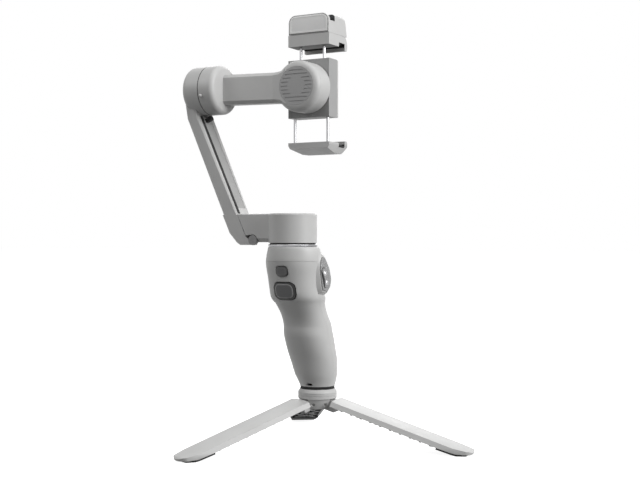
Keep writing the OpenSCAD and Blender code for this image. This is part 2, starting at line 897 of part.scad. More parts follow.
module leg_section(inset = 0) {
    low = leg_low - (inset > 0 ? over : 0);
    top = leg_top - inset;
    side = leg_top - leg_crown - inset;
    polygon([
        [-leg_w / 2 + inset, low], [leg_w / 2 - inset, low], [leg_top_w / 2 - inset, side],
        [leg_top_w / 4, top - leg_crown * 0.25], [0, top], [-leg_top_w / 4, top - leg_crown * 0.25],
        [-leg_top_w / 2 + inset, side]
    ]);
}

module leg_profile(inset = 0) {
    low = leg_low - (inset > 0 ? over : 0);
    rotate([90, 0, 0]) linear_extrude(leg_w * 2, center = true) polygon([
        [leg_start + inset, low], [leg_tip_x - inset * 2, low],
        [leg_len - inset, leg_tip_low + inset * 0.5], [leg_len - inset, leg_top - tip_lift * 0.8],
        [leg_len - tip_w * 0.7, leg_top + over], [leg_start + inset, leg_top + over]
    ]);
}

module leg_form(inset = 0) {
    intersection() {
        translate([0, 0, leg_low - over * 2]) linear_extrude(leg_depth + over * 4) leg_plan(leg_w / 2, inset);
        along_x(leg_start, leg_len) leg_section(inset);
        leg_profile(inset);
    }
}

module leg(k) {
    color(shell_grey) placed() leg_place(k) difference() {
        union() {
            difference() {
                leg_form();
                leg_form(leg_wall);
            }
            intersection() {
                union() {
                    rod_along_y(knuckle_r, -tongue_half, tongue_half);
                    translate([0, -tongue_half, -knuckle_r])
                        cube([leg_start + leg_wall, tongue_half * 2, knuckle_r * 2]);
                }
                translate([-knuckle_r, -tongue_half, leg_low - leg_top])
                    cube([leg_len, tongue_half * 2, leg_top * 1.7]);
            }
        }
        rod_along_y(leg_pin_r + run_gap, -leg_w, leg_w);
    }
}

// Rubber lining of a leg: a spine with cross ribs, and the foot at its tip
module leg_liner(k) {
    roof = leg_top - leg_wall - leg_crown;
    spine_end = leg_len - tip_len * 0.5;
    rib_n = floor((spine_end - leg_start - liner_pitch) / liner_pitch);
    color(rubber_black) placed() difference() {
        leg_place(k) {
            intersection() {
                union() {
                    translate([leg_start, -liner_rib / 2, leg_low - liner_proud])
                        cube([spine_end - leg_start, liner_rib, roof - leg_low + liner_proud]);
                    for (i = [1:rib_n])
                        translate([leg_start + liner_pitch * i, -leg_w / 2, leg_low - liner_proud])
                            cube([liner_rib, leg_w, roof - leg_low + liner_proud]);
                }
                translate([0, 0, leg_low - over * 2]) linear_extrude(leg_depth)
                    leg_plan(leg_w / 2, leg_wall * 2);
            }
            intersection() {
                translate([0, 0, leg_low - foot_drop]) linear_extrude(leg_depth) intersection() {
                    leg_plan(leg_w / 2, leg_wall * 0.6);
                    translate([leg_len - foot_len, -leg_w]) square([foot_len - foot_end, leg_w * 2]);
                }
                rotate([90, 0, 0]) linear_extrude(leg_w * 2, center = true) polygon([
                    [0, leg_low], [leg_tip_x, leg_low], [leg_len, leg_tip_low],
                    [leg_len, -leg_top], [0, -leg_top]
                ]);
            }
        }
        translate([-tripod_r * 2, -tripod_r * 2, -tripod_r]) cube([tripod_r * 4, tripod_r * 4, tripod_r]);
    }
}

module leg_1() {
    leg(0);
}

module leg_2() {
    leg(1);
}

module leg_3() {
    leg(2);
}

module leg_liner_1() {
    leg_liner(0);
}

module leg_liner_2() {
    leg_liner(1);
}

module leg_liner_3() {
    leg_liner(2);
}

// Line that splits the short arm from the folding arm, at a distance to its right
function split_x(z, shift) = -arm_origin_x - (z - arm_origin_z) * tan(arm_lean) + shift;

hinge_z_low = hinge_z - barrel_r;
split_low_z = hinge_z + barrel_r * 0.8;

module short_arm_outline() {
    low = pan_z + bar_z_inset;
    polygon([
        [split_x(pan_top, split_gap), pan_top], [0, pan_top], [0, low],
        [-hinge_x + barrel_r + move_gap * 3, low], [-hinge_x + barrel_r + move_gap, hinge_z + skin_gap],
        [-hinge_x, hinge_z + barrel_r + move_gap],
        [split_x(split_low_z, split_gap), split_low_z + move_gap]
    ]);
}

// Flat under the rear of the hinge, level with the short arm's lower side
module hinge_relief() {
    low = hinge_z_low - over;
    translate([-relief_x, -relief_half, low])
        cube([relief_x, relief_half + bar_half + over, pan_z + bar_z_inset - low]);
}

// Pan motor's housing with the short arm and the middle lug of the hinge
module pan_housing() {
    color(shell_grey) placed() difference() {
        union() {
            translate([0, 0, pan_z]) cylinder(r = pan_r, h = pan_h - arm_edge);
            translate([0, 0, pan_top - arm_edge]) cylinder(r1 = pan_r, r2 = pan_r - arm_edge, h = arm_edge);
            intersection() {
                along_y(-bar_half, bar_half) short_arm_outline();
                bar_depth_form();
            }
            difference() {
                union() {
                    translate([-hinge_x, 0, hinge_z])
                        rod_along_y(barrel_r, -lug_half + skin_gap, lug_half - skin_gap);
                    along_y(-lug_half + skin_gap, lug_half - skin_gap) polygon([
                        [-hinge_x, hinge_z - barrel_r * 0.9], [-pan_r * 0.9, hinge_z - barrel_r * 0.9],
                        [-pan_r * 0.9, hinge_z + barrel_r * 1.6], [-hinge_x, hinge_z + barrel_r * 1.6]
                    ]);
                }
                hinge_relief();
            }
        }
        translate([-hinge_x, 0, hinge_z]) {
            for (s = [-1, 1]) scale([1, s, 1])
                rod_along_y(barrel_r + move_gap, lug_half - skin_gap, bar_half + over);
            rod_along_y(hinge_pin_r, -bar_half, bar_half);
        }
        translate([0, 0, pan_z - over]) cylinder(r = bearing_r + run_gap, h = pan_h);
        translate([0, 0, pan_z + pan_floor_h]) cylinder(r = pan_r - pan_wall, h = pan_h);
    }
}

// Rounded lower edges of the short arm
module bar_depth_form() {
    low = pan_z + bar_z_inset;
    side = bar_half - arm_edge;
    along_x(-arm_origin_x * 1.5, 0) polygon([
        [-bar_half + bar_round, low], [-bar_half, low + bar_round], [-bar_half, pan_top - arm_edge * 0.5],
        [-side, pan_top], [side, pan_top], [bar_half, pan_top - arm_edge * 0.5], [bar_half, low + bar_round],
        [bar_half - bar_round, low]
    ]);
}

module pan_cover() {
    color(shell_grey) placed() translate([0, 0, pan_top - pan_lid_h])
        cylinder(r = pan_r - pan_wall, h = pan_lid_h);
}

module pan_magnets() {
    color(steel) placed() translate([0, 0, pan_z + pan_floor_h])
        ring(pan_r - pan_wall, pan_r - pan_wall - magnet_t, pan_h - pan_floor_h - pan_lid_h);
}

module hinge_pin() {
    color(steel) placed() translate([-hinge_x, 0, hinge_z]) rod_along_y(hinge_pin_r, -bar_half, bar_half);
}

module on_arm() {
    translate([-arm_origin_x, 0, arm_origin_z]) rotate([0, -arm_lean, 0]) children();
}

module arm_slab(half, z, t) {
    e = arm_edge;
    translate([0, 0, z]) linear_extrude(over * 0.01) polygon([
        [-t, -half + e * 1.6], [-t + e * 1.6, -half], [-e, -half], [0, -half + e],
        [0, half - e], [-e, half], [-t + e * 1.6, half], [-t, half - e * 1.6]
    ]);
}

// Foot of the folding arm, from its outer face round to the hinge
module elbow_outline() {
    low = hinge_z_low + skin_gap * 0.5;
    outer = arm_t / cos(arm_lean);
    polygon([
        [split_x(arm_origin_z, 0), arm_origin_z], [split_x(split_low_z, 0), split_low_z],
        [-hinge_x - barrel_r * 0.5, hinge_z - barrel_r * 0.3], [-hinge_x, low],
        [-hinge_x - barrel_r * 2.9, low], [-hinge_x - barrel_r * 3.7, low + barrel_r * 0.5],
        [split_x(low + barrel_r * 2.4, -outer), low + barrel_r * 2.4],
        [split_x(arm_origin_z, -outer), arm_origin_z]
    ]);
}

module tilt_can() {
    r = can_round;
    translate([-tilt_out_x, 0, axis_z]) rotate([0, 90, 0]) rotate_extrude() polygon(concat(
        [[0, 0]], [for (a = [0:15:90]) [tilt_r - r + r * sin(a), r - r * cos(a)]],
        [[tilt_r, tilt_out_x - tilt_split_x - skin_gap / 2], [0, tilt_out_x - tilt_split_x - skin_gap / 2]]));
}

module arm_channel(x0, y0, y1, z0, z1) {
    on_arm() translate([x0, y0, z0]) cube([-x0 + over, y1 - y0, z1 - z0]);
}

channel_low = 6;
channel_top_share = 0.8;
grommet_h = 3.2;
grommet_drop = 5.6;
grommet_out = 5.4;
channel_front = arm_half_top - slot_from_edge - arm_edge * 2;

// Folding arm with the outer can of the tilt motor
module arm_shell() {
    color(shell_grey) placed() difference() {
        union() {
            hull() {
                on_arm() arm_slab(bar_half, 0, arm_t);
                on_arm() arm_slab(arm_half_top, arm_len * blend_share, arm_t - arm_taper);
            }
            hull() {
                on_arm() arm_slab(arm_half_top, arm_len * blend_share, arm_t - arm_taper);
                translate([0, 0, axis_z])
                    rod_along_x(tilt_r - can_round, -tilt_out_x, -tilt_out_x + blend_run);
            }
            tilt_can();
            along_y(-bar_half, bar_half) elbow_outline();
        }
        arm_channel(-channel_d, -channel_front, channel_front, channel_low, arm_len * channel_top_share);
        translate([-hinge_x, 0, hinge_z]) {
            rod_along_y(barrel_r + move_gap, -lug_half, lug_half);
            for (s = [-1, 1]) scale([1, s, 1]) rod_along_y(barrel_r, lug_half, bar_half + over);
        }
        along_y(-lug_half, lug_half) polygon([
            [-hinge_x, hinge_z_low - over], [-hinge_x + barrel_r, hinge_z_low - over],
            [-hinge_x + barrel_r, hinge_z + barrel_r * 2], [-hinge_x, hinge_z + barrel_r * 2]
        ]);
        hinge_relief();
        translate([0, 0, axis_z]) {
            rod_along_x(tilt_r - can_wall, -tilt_out_x + can_wall * 1.6, 0);
            rod_along_x(tilt_r + over, -tilt_split_x - skin_gap / 2, 0);
        }
    }
}

module arm_cover() {
    top = arm_len * channel_top_share;
    color(shell_grey) placed() on_arm() difference() {
        translate([-cover_t, -channel_front + slot_w, channel_low])
            cube([cover_t - fit_gap, channel_front * 2 - slot_w - fit_gap, top - channel_low - fit_gap]);
        translate([-cover_t - over, -grommet_half, top - grommet_drop])
            cube([cover_t + over * 2, grommet_half * 2, grommet_h]);
    }
}

// Cable in the arm's slot and the grommet where it enters the tilt motor
module cable_strip() {
    top = arm_len * channel_top_share;
    color(rubber_black) placed() on_arm() {
        translate([-channel_d, -channel_front, channel_low])
            cube([channel_d - cover_t, slot_w * 1.4, top - channel_low]);
        translate([-channel_d, -grommet_half, top - grommet_drop])
            cube([channel_d + grommet_out, grommet_half * 2, grommet_h]);
    }
}

module hinge_barrels() {
    color(rubber_black) placed() difference() {
        translate([-hinge_x, 0, hinge_z]) for (s = [-1, 1]) scale([1, s, 1]) difference() {
            rod_along_y(barrel_r, lug_half, bar_half);
            rod_along_y(hinge_pin_r + run_gap, -bar_half, bar_half * 2);
        }
        hinge_relief();
    }
}

module tilt_stator() {
    color(copper) placed() translate([-tilt_out_x + can_wall * 1.6, 0, axis_z]) rotate([0, 90, 0])
        stator(stator_r, shaft_r + run_gap, stator_h);
}

// Plan of the roll arm: square to the tilt motor, then slanting back to the roll motor
module roll_bar() {
    x0 = -tilt_split_x + over;
    span = tilt_split_x - over - bar_bend_x;
    y0 = front_y - bar_drop * span / (tilt_split_x - bar_bend_x);
    c = bar_chamfer;
    translate([0, 0, axis_z]) hull() for (layer = [[roll_bar_h, c], [roll_bar_h - 2 * c, 0]])
        translate([0, 0, -layer[0] / 2]) linear_extrude(layer[0]) polygon([
            [x0, y0 + layer[1]], [-bar_bend_x, front_y + layer[1]],
            [-bar_bend_x, front_y + bar_t], [x0, y0 + bar_t]
        ]);
}

// Inner cap of the tilt motor and the bar that leads to the roll motor
module roll_arm() {
    r = cap_round;
    cap_x = tilt_split_x - skin_gap / 2;
    color(shell_grey) placed() difference() {
        union() {
            translate([-cap_x, 0, axis_z]) rotate([0, 90, 0]) rotate_extrude() polygon(concat(
                [[0, 0], [tilt_r, 0]],
                [for (a = [0:15:90]) [tilt_r - r + r * cos(a), tilt_cap_len - r + r * sin(a)]],
                [[0, tilt_cap_len]]));
            roll_bar();
            translate([-cap_x + tilt_nub_r * 2, -tilt_r, axis_z - tilt_r * 0.3])
                sphere(r = tilt_nub_r, $fn = 24);
        }
        translate([0, 0, axis_z]) {
            rod_along_x(tilt_r - can_wall, -tilt_split_x - over, -tilt_split_x + can_wall);
            rod_along_x(shaft_r, -tilt_split_x - over, -tilt_split_x + tilt_cap_len - can_wall);
            rod_along_y(roll_r - can_wall, front_y + disc_t + can_wall, roll_back_y + over);
        }
    }
}

module tilt_shaft() {
    far = tilt_out_x - can_wall * 1.6 - skin_gap;
    color(steel) placed() translate([0, 0, axis_z]) {
        rod_along_x(shaft_r, -far, -tilt_split_x + tilt_cap_len - can_wall);
        difference() {
            rod_along_x(tilt_r - can_wall - skin_gap, -far + skin_gap, -tilt_split_x + can_wall);
            rod_along_x(stator_r + move_gap, -tilt_out_x, -far + stator_h + move_gap * 2);
        }
    }
}

// Housing of the roll motor with the neck that meets the bar
module roll_housing() {
    e = roll_edge;
    color(shell_grey) placed() difference() {
        union() {
            translate([0, front_y, axis_z]) rotate([-90, 0, 0]) rotate_extrude() polygon(concat(
                [[0, 0]], [for (a = [0:15:90]) [roll_r - e + e * sin(a), e - e * cos(a)]],
                [[roll_r, roll_back_y - front_y], [0, roll_back_y - front_y]]));
            for (i = [0:len(neck_shares) - 2]) hull() {
                neck_slab(neck_shares[i]);
                neck_slab(neck_shares[i + 1]);
            }
        }
        translate([0, 0, axis_z]) {
            rod_along_y(disc_r + fit_gap, front_y - over, front_y + disc_t);
            rod_along_y(roll_r - can_wall, front_y + disc_t + can_wall, roll_back_y + over);
        }
    }
}

module neck_slab(q) {
    c = bar_chamfer;
    half = roll_bar_h / 2 + neck_rise * q[1];
    translate([-bar_bend_x + neck_len * q[0], 0, axis_z]) along_x(0, over * 0.01) polygon([
        [front_y + c, -half], [front_y, -half + c], [front_y, half - c], [front_y + c, half],
        [front_y + bar_t, half], [front_y + bar_t, -half]
    ]);
}

// Disc on the front of the roll motor, with level ribs and a bare centre
module roll_disc() {
    pitch = disc_r * 2 / (disc_rib_count + 1);
    color(face_grey) placed() translate([0, 0, axis_z]) difference() {
        rod_along_y(disc_r, front_y, front_y + disc_t);
        for (k = [1:disc_rib_count]) difference() {
            intersection() {
                translate([-disc_r, front_y - over, pitch * k - disc_r - disc_rib_w / 2])
                    cube([disc_r * 2, over + disc_rib_d, disc_rib_w]);
                rod_along_y(disc_r * 0.9, front_y - over, front_y + disc_t);
            }
            rod_along_y(disc_r * 0.52, front_y - over, front_y + disc_t);
        }
    }
}

module roll_stator() {
    color(copper) placed() translate([0, front_y + disc_t + can_wall, axis_z]) rotate([-90, 0, 0])
        stator(stator_r, shaft_r + run_gap, stator_h);
}

module roll_shaft() {
    color(steel) placed() translate([0, 0, axis_z]) {
        rod_along_y(shaft_r, front_y + disc_t + can_wall + skin_gap, block_y);
        difference() {
            rod_along_y(roll_r - can_wall - skin_gap, front_y + disc_t + can_wall + skin_gap,
                block_y - skin_gap);
            rod_along_y(stator_r + move_gap, front_y, front_y + disc_t + can_wall + stator_h + move_gap);
        }
        rod_along_y(hub_pin_r, block_y, block_back_y);
    }
}

module block_form(y0, y1, inset) {
    along_y(y0, y1) translate([0, axis_z])
        square([block_w - 2 * inset, block_h - 2 * inset], center = true);
}

function rod_x(upper) = upper ? upper_rod_x : lower_rod_x;
function rod_y(upper) = upper ? upper_rod_y : lower_rod_y;

// Clamp block: guides for the four rods and the pocket of the pinion and racks
module clamp_block() {
    top = axis_z + block_h / 2;
    low = axis_z - block_h / 2;
    inner_w = block_w - 2 * side_wall;
    color(face_grey) placed() difference() {
        hull() {
            block_form(block_y, block_back_y - block_edge, 0);
            block_form(block_y, block_back_y, block_edge * 0.3);
        }
        translate([-inner_w / 2, layer_y, low + guide_h])
            cube([inner_w, block_d * 2, block_h - 2 * guide_h]);
        translate([-inner_w / 2, layer_y + layer_t, low + end_wall])
            cube([inner_w, block_d, block_h - 2 * end_wall]);
        for (s = [-1, 1]) {
            translate([s * upper_rod_x, upper_rod_y, low + end_wall])
                cylinder(r = rod_r + run_gap, h = block_h);
            translate([s * lower_rod_x, lower_rod_y, low - over])
                cylinder(r = rod_r + run_gap, h = block_h + over - end_wall);
        }
        translate([0, 0, axis_z]) rod_along_y(hub_pin_r, block_y - over, block_back_y);
        translate([nub_x, 0, low + nub_r * 1.4]) rod_along_y(nub_r, block_y - over, block_y + nub_proud);
    }
    color(shell_grey) placed() translate([nub_x, 0, low + nub_r * 1.4])
        rod_along_y(nub_r, block_y - nub_proud * 0.3, block_y + nub_proud);
}

module clamp_cover() {
    inset = block_edge;
    screws_x = block_w / 2 - side_wall * 2;
    screws_z = block_h / 2 - end_wall * 2.4;
    color(shell_grey) placed() difference() {
        block_form(block_back_y, block_back_y + cover_d, inset * 0.2);
        for (sx = [-1, 1], sz = [-1, 1]) translate([sx * screws_x, 0, axis_z + sz * screws_z])
            rod_along_y(rod_r * 1.2, block_back_y + cover_d * 0.4, block_back_y + cover_d + over);
    }
}

module clamp_pad() {
    w = block_w * 0.7;
    h = block_h * 0.72;
    y0 = block_back_y + cover_d;
    color(rubber_black) placed() difference() {
        along_y(y0, y0 + pad_t) translate([0, axis_z]) rounded_rect(w, h, pad_t * 3);
        for (k = [-2:2]) translate([-w * 0.42, y0 + pad_t * 0.5, axis_z + h * 0.16 * k - pad_t * 0.5])
            cube([w * 0.84, pad_t, pad_t]);
    }
}

// Outline of one rack tooth space or gear tooth from the module
function gear_points(n, m, play) = [
    for (k = [0:n - 1], q = [[-0.29, -1.2], [-0.17, 0.95], [0.17, 0.95], [0.29, -1.2]])
        let(a = 360 / n * k + q[0] * (360 / n) * (1 - play * (q[1] > 0 ? 1 : 0.6)), r = n * m / 2 + q[1] * m)
            [r * cos(a), r * sin(a)]
];

module pinion() {
    color(steel) placed() translate([0, 0, axis_z]) difference() {
        union() {
            along_y(gear_y, gear_y + gear_t) polygon(gear_points(pinion_teeth, tooth_module, mesh_play));
            rod_along_y(pitch_r * 0.66, layer_y + skin_gap, gear_y + over);
        }
        rod_along_y(hub_pin_r + run_gap, block_y, block_back_y + over);
    }
}

module rack_teeth(z0, z1, phase) {
    n = ceil((z1 - z0) / tooth_pitch);
    m = tooth_module;
    thin = tooth_pitch * mesh_play / 2;
    intersection() {
        polygon(concat(
            [[pitch_r + m + rack_t, z0], [pitch_r + m * 1.25, z0]],
            [for (k = [0:n], q = [[-0.34, 1.25], [-0.17, -0.9], [0.17, -0.9], [0.34, 1.25]]) [
                pitch_r + m * q[1],
                z0 + (k + phase + q[0]) * tooth_pitch - sign(q[0]) * thin * (q[1] < 0 ? 1 : 0.6)
            ]],
            [[pitch_r + m * 1.25, z1 + tooth_pitch * 2], [pitch_r + m + rack_t, z1 + tooth_pitch * 2]]));
        translate([0, z0]) square([pitch_r * 4, z1 - z0]);
    }
}

rack_reach = tooth_pitch * 1.3;
carrier_rise = 4.2;

function jaw_plane(upper) = upper
    ? phone_w / 2 - phone_drop - upper_seat
    : -phone_w / 2 - phone_drop + lower_seat;

// Two rods of a jaw, with the rack that one of them carries behind the other pair
module jaw_rods(upper) {
    s = upper ? 1 : -1;
    x = rod_x(upper);
    y = rod_y(upper);
    near = jaw_plane(upper) + s * rod_seat;
    far = s * (block_h / 2 - rod_hidden);
    z0 = min(near, far);
    z1 = max(near, far);
    rack_low = upper ? -jaw_open - rack_reach : -jaw_close - rack_reach;
    rack_high = upper ? jaw_close + rack_reach : jaw_open + rack_reach;
    low = upper ? carrier_rise - carrier_h : -carrier_rise;
    back = pitch_r + tooth_module * 1.25;
    translate([0, 0, axis_z]) {
        for (k = [-1, 1]) translate([k * x, y, z0]) cylinder(r = rod_r, h = z1 - z0);
        scale([s, 1, 1]) {
            along_y(gear_y, gear_y + gear_t) rack_teeth(rack_low, rack_high, tooth_shift(rack_low));
            translate([back, gear_y, low]) cube([x + rod_r - back, gear_t, carrier_h]);
            translate([x - rod_r, y, low]) cube([rod_r * 2, gear_y - y + over, carrier_h]);
        }
    }
}

// Phase that puts a rack tooth in a gap of the pinion at rest
function tooth_shift(z0) = -z0 / tooth_pitch - floor(-z0 / tooth_pitch) - 0.5;

module jaw_profile(h, drop) {
    y1 = jaw_back_y - block_y;
    n0 = phone_y - block_y - groove_margin;
    n1 = n0 + phone_t + 2 * groove_margin;
    d = groove_depth;
    lean = groove_margin * 0.4;
    polygon([
        [0, 0], [n0, 0], [n0 + lean, d], [n1 - lean, d], [n1, -jaw_lip], [y1 - jaw_lip * 0.4, -jaw_lip],
        [y1, -jaw_lip * 0.4], [y1, h * 0.36], [y1 - h * 0.14, h * 0.72], [y1 - h * 0.42, h], [n0, h],
        [0, h - drop]
    ]);
}

// Body of a jaw, drawn as the upper one with its phone side down
module jaw_body(h, drop, edge) {
    half = jaw_w / 2;
    intersection() {
        along_x(-half, half) translate([block_y, 0]) jaw_profile(h, drop);
        along_y(block_y - over, jaw_back_y + over) polygon([
            [-half, -jaw_lip - over], [half, -jaw_lip - over], [half, h - drop - edge * 0.7],
            [half - edge, h + over * 0.01], [-half + edge, h + over * 0.01], [-half, h - drop - edge * 0.7]
        ]);
    }
}

// Rubber in a jaw's groove, hollowed where the phone's edge goes in
module jaw_pad_form(hollow) {
    n0 = phone_y - block_y - groove_margin;
    n1 = n0 + phone_t + 2 * groove_margin;
    d = groove_depth;
    lean = groove_margin * 0.4;
    lining = groove_margin * 0.7;
    half = jaw_w / 2 - skin_gap;
    low = d * 0.15;
    near = n0 + lean * low / d;
    far = n1 - lean * (low + jaw_lip) / (d + jaw_lip);
    along_x(-half, half) translate([block_y, 0]) polygon([
        [near, low], [n0 + lean, d], [n1 - lean, d], [far, low],
        [n1 - lining, d * 0.25], [n1 - lining, hollow], [n0 + lining, hollow], [n0 + lining, d * 0.25]
    ]);
}

module at_jaw(upper) {
    translate([0, 0, axis_z + jaw_plane(upper)]) scale([1, 1, upper ? 1 : -1]) children();
}

module jaw(upper) {
    near = jaw_plane(upper) + (upper ? rod_seat : -rod_seat);
    difference() {
        at_jaw(upper) jaw_body(
            upper ? upper_jaw_h : lower_jaw_h, upper ? 0 : jaw_front_drop, upper ? 0 : jaw_edge);
        for (k = [-1, 1]) translate([k * rod_x(upper), rod_y(upper), axis_z + min(near, 0)])
            cylinder(r = rod_r, h = abs(near));
    }
}

head_low = axis_z + jaw_plane(true) + upper_jaw_h + head_gap;
head_mid_y = block_y + jaw_d / 2;

module upper_jaw() {
    color(shell_grey) placed() {
        jaw(true);
        translate([0, head_mid_y, head_low - head_gap - over])
            cylinder(r = light_pin_r, h = light_pin_h + over);
    }
}

module lower_jaw() {
    color(shell_grey) placed() jaw(false);
}

module upper_rods() {
    color(steel) placed() jaw_rods(true);
}

module lower_rods() {
    color(steel) placed() jaw_rods(false);
}

module upper_pad() {
    color(rubber_black) placed() at_jaw(true) jaw_pad_form(upper_seat + skin_gap);
}

module lower_pad() {
    color(rubber_black) placed() at_jaw(false) jaw_pad_form(lower_seat + skin_gap);
}

// Front outline of the light head: square foot and rounded shoulders
module head_outline(inset) {
    half = jaw_w / 2 - head_inset - inset;
    r = head_round - inset;
    top = head_h - inset;
    translate([-half, inset]) square([half * 2, top - r - inset]);
    translate([-half + r, top - r - over]) square([(half - r) * 2, r + over]);
    for (s = [-1, 1]) translate([s * (half - r), top - r]) circle(r = r);
}

module light_head() {
    y1 = jaw_back_y;
    color(shell_grey) placed() translate([0, 0, head_low]) difference() {
        intersection() {
            along_y(block_y, y1) head_outline(0);
            along_x(-jaw_w, jaw_w) polygon([
                [block_y, 0], [y1, 0], [y1, head_h - head_round],
                [y1 - head_round * 0.3, head_h - head_round * 0.3],
                [y1 - head_round, head_h], [block_y, head_h]
            ]);
        }
        along_y(block_y - over, block_y + frost_t) head_outline(frost_inset);
        translate([-jaw_w, block_y + head_groove_y, head_h - head_groove_d])
            cube([jaw_w * 2, head_groove_w, head_h]);
        translate([0, head_mid_y, -over]) cylinder(r = light_pin_r + run_gap, h = light_pin_h + over);
    }
    color(lens_white) placed() translate([0, 0, head_low])
        along_y(block_y + frost_t * 0.3, block_y + frost_t) head_outline(frost_inset + fit_gap);
}

tripod_hub();
hub_pad();
tripod_screw();
leg_pins();
leg_1();
leg_2();
leg_3();
leg_liner_1();
leg_liner_2();
leg_liner_3();
grip_front();
grip_rear();
grip_collar();
base_plate();
socket_insert();
pan_ring();
inner_frame();
battery();
battery_frame();
main_board();
pan_stator();
pan_bearing();
side_bezel();
side_panel();
control_panel();
charging_port();
indicator_lights();
trigger();
mode_button();
zoom_rocker();
joystick_cap();
joystick_cradle();
record_button();
power_button();
pan_housing();
pan_cover();
pan_magnets();
hinge_pin();
arm_shell();
arm_cover();
cable_strip();
hinge_barrels();
tilt_stator();
roll_arm();
roll_housing();
roll_disc();
tilt_shaft();
roll_stator();
clamp_block();
clamp_cover();
clamp_pad();
roll_shaft();
pinion();
upper_jaw();
upper_rods();
upper_pad();
lower_jaw();
lower_rods();
lower_pad();
light_head();
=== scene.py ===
import math

import bpy
from mathutils import Matrix, Vector


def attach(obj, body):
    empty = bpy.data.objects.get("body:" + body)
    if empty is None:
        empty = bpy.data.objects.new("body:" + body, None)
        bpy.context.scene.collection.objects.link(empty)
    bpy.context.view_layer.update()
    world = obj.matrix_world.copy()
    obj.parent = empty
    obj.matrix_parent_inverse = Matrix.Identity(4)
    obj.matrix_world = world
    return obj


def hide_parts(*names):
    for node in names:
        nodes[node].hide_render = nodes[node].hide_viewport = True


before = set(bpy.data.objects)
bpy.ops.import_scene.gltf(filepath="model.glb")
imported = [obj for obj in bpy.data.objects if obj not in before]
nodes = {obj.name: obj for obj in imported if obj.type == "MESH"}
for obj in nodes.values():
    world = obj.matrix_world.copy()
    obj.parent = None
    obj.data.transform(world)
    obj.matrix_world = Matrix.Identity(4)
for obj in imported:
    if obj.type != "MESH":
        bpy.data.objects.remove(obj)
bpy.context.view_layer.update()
print("frame loaded,", len(nodes), "nodes")

mm = 0.001
hair = 0.00001  # metres, the slack when faces and edges are picked by their place
sameLine = hair / 10  # metres, ends no further apart than this count as in line
facing = 0.9  # part of a normal that points one way, from which a face counts as facing it
panAxis = Vector((-0.0168521, -0.0317624, 0.0))  # seen from the middle of the footprint


def spot(x, y, z):  # millimetres from the pan axis, as the CAD file counts them
    return Vector((x, y, z)) * mm + panAxis


def deselectAll():
    if bpy.context.object and bpy.context.object.mode != "OBJECT":
        bpy.ops.object.mode_set(mode="OBJECT")
    for piece in list(bpy.context.selected_objects):
        piece.select_set(False)


def pick(piece):
    deselectAll()
    piece.select_set(True)
    bpy.context.view_layer.objects.active = piece


def settle(piece):  # place and turn go into the mesh
    pick(piece)
    bpy.ops.object.transform_apply(location=True, rotation=True, scale=True)


def choose(piece, kind, test):  # picks faces, edges or vertices by their place
    pick(piece)
    bpy.ops.object.mode_set(mode="EDIT")
    bpy.ops.mesh.select_mode(type=kind)
    bpy.ops.mesh.select_all(action="DESELECT")
    bpy.ops.object.mode_set(mode="OBJECT")
    mesh = piece.data
    if kind == "FACE":
        for face in mesh.polygons:
            face.select = test(face.center, face.normal)
    elif kind == "EDGE":
        for edge in mesh.edges:
            edge.select = test(*(mesh.vertices[end].co for end in edge.vertices))
    else:
        for vertex in mesh.vertices:
            vertex.select = test(vertex.co)
    bpy.ops.object.mode_set(mode="EDIT")


def bevelPicked(size, segments):  # millimetres, as in the next two
    bpy.ops.mesh.bevel(offset=size * mm, segments=segments, affect="EDGES")


def insetPicked(thickness, depth):
    bpy.ops.mesh.inset(thickness=thickness * mm, depth=depth * mm)


def extrudePicked(x, y, z):
    step = {"value": (x * mm, y * mm, z * mm)}
    bpy.ops.mesh.extrude_region_move(TRANSFORM_OT_translate=step)


def applyAll(piece):
    pick(piece)
    for modifier in list(piece.modifiers):
        bpy.ops.object.modifier_apply(modifier=modifier.name)


smoothAngle = 35  # degrees, where a piece or a node gives none


def smoothEdges(piece, angle=smoothAngle):
    pick(piece)
    bpy.ops.object.shade_smooth_by_angle(angle=math.radians(angle))


def evenNormals(piece):
    weigh = piece.modifiers.new("evenNormals", "WEIGHTED_NORMAL")
    weigh.keep_sharp = True
    applyAll(piece)


def easeEdges(piece, look):
    bevel = piece.modifiers.new("easedEdges", "BEVEL")
    bevel.width = look["edge"] * mm
    bevel.segments = look["segments"]
    bevel.limit_method = "ANGLE"
    bevel.angle_limit = math.radians(look["sharp"])
    bevel.miter_outer = "MITER_ARC" if look["arc"] else "MITER_SHARP"
    applyAll(piece)


def copyPiece(piece, name):
    copy = bpy.data.objects.new(name, piece.data.copy())
    bpy.context.scene.collection.objects.link(copy)
    return copy


def setFinish(piece, finish):
    piece.data.materials.clear()
    piece.data.materials.append(finishes[finish])
    for face in piece.data.polygons:
        face.material_index = 0


def paintFaces(piece, finish, test):  # a second finish, on the faces that pass the test
    piece.data.materials.append(finishes[finish])
    for face in piece.data.polygons:
        if test(face):
            face.material_index = 1


def doneShaping(piece, name, body, finish, angle=smoothAngle):
    bpy.ops.object.mode_set(mode="EDIT")
    bpy.ops.mesh.select_all(action="SELECT")
    bpy.ops.mesh.normals_make_consistent(inside=False)
    bpy.ops.mesh.select_all(action="DESELECT")
    bpy.ops.object.mode_set(mode="OBJECT")
    piece.name = name
    smoothEdges(piece, angle)
    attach(piece, body)
    setFinish(piece, finish)


# node helpers: an input is fed by a socket, or set to a number or a vector

def feed(tree, socket, value):
    if isinstance(value, bpy.types.NodeSocket):
        tree.links.new(value, socket)
    elif value is not None:
        socket.default_value = value


def mathOf(tree, operation, first, second, third=None):
    node = tree.nodes.new("ShaderNodeMath")
    node.operation = operation
    for socket, value in zip(node.inputs, (first, second, third)):
        feed(tree, socket, value)
    return node.outputs[0]


